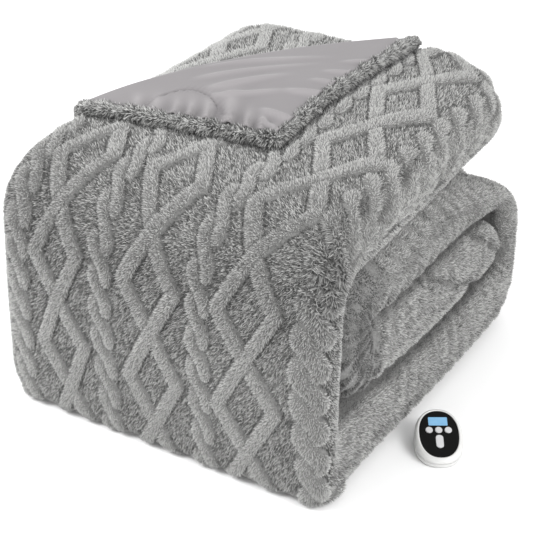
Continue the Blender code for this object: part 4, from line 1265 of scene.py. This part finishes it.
class Board:
    """One material's nodes, with a Principled shader at their end."""

    def __init__(self, name, **settings):
        self.material = bpy.data.materials.new(name)
        self.material.use_nodes = True
        self.tree = self.material.node_tree
        self.shader = self.tree.nodes["Principled BSDF"]
        for socket, value in settings.items():
            self.shader.inputs[socket.replace("_", " ")].default_value = value

    def add(self, kind, settings=None, inputs=None):
        """A node of a kind, with its settings made first and then its sockets."""
        node = self.tree.nodes.new(kind)
        for name, value in (settings or {}).items():
            setattr(node, name, value)
        for place, value in (inputs or {}).items():
            self.join(node.inputs[place], value)
        return node

    def join(self, socket, value):
        """Links a wire to a socket, or sets a plain value on it."""
        if isinstance(value, Wire):
            self.tree.links.new(value.socket, socket)
        else:
            socket.default_value = value

    def place(self, stretch=(1.0, 1.0, 1.0)):
        """The object's own coordinates, stretched."""
        source = self.add("ShaderNodeTexCoord")
        mapping = self.add("ShaderNodeMapping", {"vector_type": "POINT"},
                           {"Vector": Wire(self, source.outputs["Object"]), "Scale": stretch})
        return Wire(self, mapping.outputs[0])

    def noise(self, place, scale, detail=2.0, roughness=0.5):
        """Blender's noise at a place, from 0 to 1."""
        node = self.add("ShaderNodeTexNoise", {"noise_dimensions": "3D"},
                        {"Vector": place, "Scale": scale, "Detail": detail,
                         "Roughness": roughness})
        return Wire(self, node.outputs[0])

    def blend(self, share, first, second):
        """A colour between two colours."""
        node = self.add("ShaderNodeMix", {"data_type": "RGBA"}, {0: share, 6: first, 7: second})
        return Wire(self, node.outputs[2])

    def bump(self, height, strength, distance):
        """Sets the shader's normal from a height."""
        node = self.add("ShaderNodeBump", {}, {"Height": height, "Strength": strength,
                                               "Distance": distance})
        self.join(self.shader.inputs["Normal"], Wire(self, node.outputs[0]))

    def colour(self, value):
        """Sets the shader's colour."""
        self.join(self.shader.inputs["Base Color"], value)


def grey(red, green, blue):
    """A colour for a node, with its fourth number."""
    return (red, green, blue, 1.0)


def plush_cloth():
    """The ground under the pile: dark, as painted shade deep between the locks, mottled finely."""
    board = Board("plush_cloth", Roughness=0.95, Sheen_Weight=0.2, Specular_IOR_Level=0.2)
    place = board.place()
    mottle = board.noise(place, 260.0, 3.0, 0.6)
    board.colour(board.blend(mottle, grey(0.09, 0.09, 0.088), grey(0.26, 0.26, 0.255)))
    board.bump(mottle, 0.6, 0.002)
    return board.material


def plush_pile():
    """The locks: dark at the root, as painted shade deep in the pile, and pale at the tip, each
    with its own brightness.
    """
    board = Board("plush_pile", Roughness=0.9, Sheen_Weight=0.25, Specular_IOR_Level=0.2)
    source = board.add("ShaderNodeUVMap", {"uv_map": "OFBake"})
    parts = board.add("ShaderNodeSeparateXYZ", {}, {0: Wire(board, source.outputs[0])})
    tone = Wire(board, parts.outputs[0])
    height = Wire(board, parts.outputs[1])
    tip = board.blend(tone, grey(0.10, 0.10, 0.098), grey(0.74, 0.74, 0.724))
    # The dark root colour is painted shade deep in the pile.
    root = board.blend(tone, grey(0.026, 0.026, 0.025), grey(0.26, 0.26, 0.255))
    board.colour(board.blend(height ** 1.1, root, tip))
    return board.material


def lining_cloth():
    """Fine smooth lilac-grey cloth: a faint weave, slightly uneven in tone, and painted shade that
    deepens in the creases' troughs and fades on their ridges.
    """
    board = Board("lining_cloth", Roughness=0.62, Sheen_Weight=0.15, Specular_IOR_Level=0.35)
    slow = board.noise(board.place(), 9.0, 3.0)
    weave = board.noise(board.place((1.0, 3.0, 1.0)), 900.0, 1.0)
    plain = board.blend(slow, grey(0.204, 0.193, 0.198), grey(0.242, 0.230, 0.235))
    # Painted shade from the creases, mixed towards a dark grey.
    source = board.add("ShaderNodeAttribute", {"attribute_name": "crease_shade"})
    deep = Wire(board, source.outputs["Fac"])
    board.colour(board.blend(deep * 0.75, plain, grey(0.100, 0.094, 0.098)))
    board.bump(weave + slow * 0.4, 0.12, 0.0006)
    return board.material


def moulded(name, dark, light, roughness, coat, grain, shine=0.5):
    """A moulded plastic: a faint grain in its shine and height, under a clear coat."""
    board = Board(name, Coat_Weight=coat, Coat_Roughness=0.12, Specular_IOR_Level=shine)
    place = board.place()
    fine = board.noise(place, 1400.0, 2.0)
    slow = board.noise(place, 45.0, 2.0)
    board.colour(board.blend(slow, dark, light))
    board.join(board.shader.inputs["Roughness"], fine * 0.10 + (roughness - 0.05))
    board.bump(fine, grain, 0.0002)
    return board.material


def lit_display():
    """The lit window: pale blue, a little brighter at its middle."""
    board = Board("display_glass", Roughness=0.18, Coat_Weight=0.6, Emission_Strength=0.10)
    slow = board.noise(board.place(), 90.0, 1.0)
    glow = board.blend(slow, grey(0.13, 0.34, 0.56), grey(0.20, 0.42, 0.64))
    board.colour(glow)
    board.join(board.shader.inputs["Emission Color"], glow)
    return board.material


# Points closer than this are one, and edges that turn more than this stay sharp.
MERGE_DISTANCE = 0.000002
SHARP_ANGLE = math.radians(32.0)


def rounded_copy(name, node, material):
    """A copy of a moulded solid, its doubles merged, so that its round sides shade smoothly."""
    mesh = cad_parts[node].data.copy()
    mesh.name = name
    work = bmesh.new()
    work.from_mesh(mesh)
    bmesh.ops.remove_doubles(work, verts=work.verts, dist=MERGE_DISTANCE)
    work.to_mesh(mesh)
    work.free()
    mesh.materials.clear()
    mesh.materials.append(material)
    mesh.shade_smooth()
    mesh.set_sharp_from_angle(angle=SHARP_ANGLE)
    piece = bpy.data.objects.new(name, mesh)
    bpy.context.collection.objects.link(piece)
    belongs(piece, node)


def dress_controller():
    """Plastic, glass and rubber on the controller's own solids."""
    white = moulded("shell_plastic", grey(0.60, 0.60, 0.59), grey(0.66, 0.66, 0.65), 0.34, 0.2,
                    0.05)
    black = moulded("fascia_plastic", grey(0.005, 0.005, 0.005), grey(0.008, 0.008, 0.008), 0.30,
                    0.0, 0.03, 0.06)
    pale = moulded("key_plastic", grey(0.52, 0.52, 0.53), grey(0.60, 0.60, 0.61), 0.42, 0.1, 0.08)
    rubber = moulded("gland_rubber", grey(0.48, 0.48, 0.47), grey(0.55, 0.55, 0.54), 0.7, 0.0,
                     0.15)
    rounded_copy("shell_base", "controller_base", white)
    rounded_copy("shell_cover", "controller_cover", white)
    rounded_copy("gland_sleeve", "cord_gland", rubber)
    worn = {"fascia": black, "display": lit_display()}
    worn.update({name: pale for name in ("key_left", "key_middle", "key_right", "key_long")})
    for name, material in worn.items():
        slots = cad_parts[name].material_slots
        for slot in slots:
            slot.material = material


# ------------------------------------------------------------------ the studio
LENS_PIXELS = 1350.0
PICTURE = 533.0
SENSOR = 36.0
AZIMUTH = math.radians(31.7)
ELEVATION = math.radians(27.5)
DISTANCE = 1.962
TARGET = np.array((0.0, 0.0, 0.2024))
TARGET_PIXEL = (274.0, 236.7)
AIM_HEIGHT = 0.2
FLOOR_REACH = 4.0


def build_camera():
    """The camera at the photo's angle, aimed so that its target lies on TARGET_PIXEL."""
    back = np.array((math.sin(AZIMUTH) * math.cos(ELEVATION),
                     -math.cos(AZIMUTH) * math.cos(ELEVATION), math.sin(ELEVATION)))
    right = np.array((math.cos(AZIMUTH), math.sin(AZIMUTH), 0.0))
    up = np.cross(back, right)
    eye = TARGET + DISTANCE * back
    aside = (PICTURE / 2.0 - TARGET_PIXEL[0]) / LENS_PIXELS * DISTANCE
    above = (TARGET_PIXEL[1] - PICTURE / 2.0) / LENS_PIXELS * DISTANCE
    aim = TARGET + right * aside + up * above
    data = bpy.data.cameras.new("camera")
    data.sensor_width = SENSOR
    data.lens = LENS_PIXELS / PICTURE * SENSOR
    camera = bpy.data.objects.new("camera", data)
    bpy.context.collection.objects.link(camera)
    look = unit(aim - eye)
    level = unit(np.cross(look, (0.0, 0.0, 1.0)))
    rows = np.eye(4)
    rows[:3, 0], rows[:3, 1], rows[:3, 2] = level, np.cross(level, look), -look
    rows[:3, 3] = eye
    camera.matrix_world = Matrix(rows.tolist())
    bpy.context.scene.camera = camera


def area_light(name, place, size, power):
    """A soft square light that looks at AIM_HEIGHT over the origin."""
    data = bpy.data.lights.new(name, "AREA")
    data.size = size
    data.energy = power
    light = bpy.data.objects.new(name, data)
    bpy.context.collection.objects.link(light)
    light.location = place
    aim = light.location * -1.0
    aim.z += AIM_HEIGHT
    light.rotation_euler = aim.to_track_quat("-Z", "Y").to_euler()


def build_studio():
    """A plain pale floor, an even pale surround, and a soft light from either side."""
    board = Board("pale_floor", Roughness=0.8, Base_Color=grey(0.97, 0.97, 0.97))
    corners = np.array(((-1.0, -1.0, 0.0), (1.0, -1.0, 0.0), (1.0, 1.0, 0.0), (-1.0, 1.0, 0.0)))
    floor = make_piece("floor", FLOOR_REACH * corners, [np.array([[0, 1, 2, 3]])],
                       board.material)
    world = bpy.data.worlds.new("pale surround")
    world.use_nodes = True
    surround = world.node_tree.nodes["Background"]
    surround.inputs["Color"].default_value = grey(1.0, 1.0, 1.0)
    surround.inputs["Strength"].default_value = 1.0
    bpy.context.scene.world = world
    area_light("key", (-1.3, -1.7, 2.3), 1.0, 64.0)
    area_light("side", (2.4, -0.7, 2.0), 1.4, 52.0)
    bpy.context.scene.view_settings.view_transform = "Standard"


def main():
    """Builds every piece, dresses the controller, and sets up the studio."""
    build_camera()
    cloth = plush_cloth()
    pile = plush_pile()
    build_skin(cloth)
    build_flap(cloth)
    for seed, stretch in enumerate(STRETCHES):
        build_pile(stretch, seed + 1, pile)
    build_hem_pile(pile)
    build_lining(lining_cloth())
    dress_controller()
    build_studio()


main()
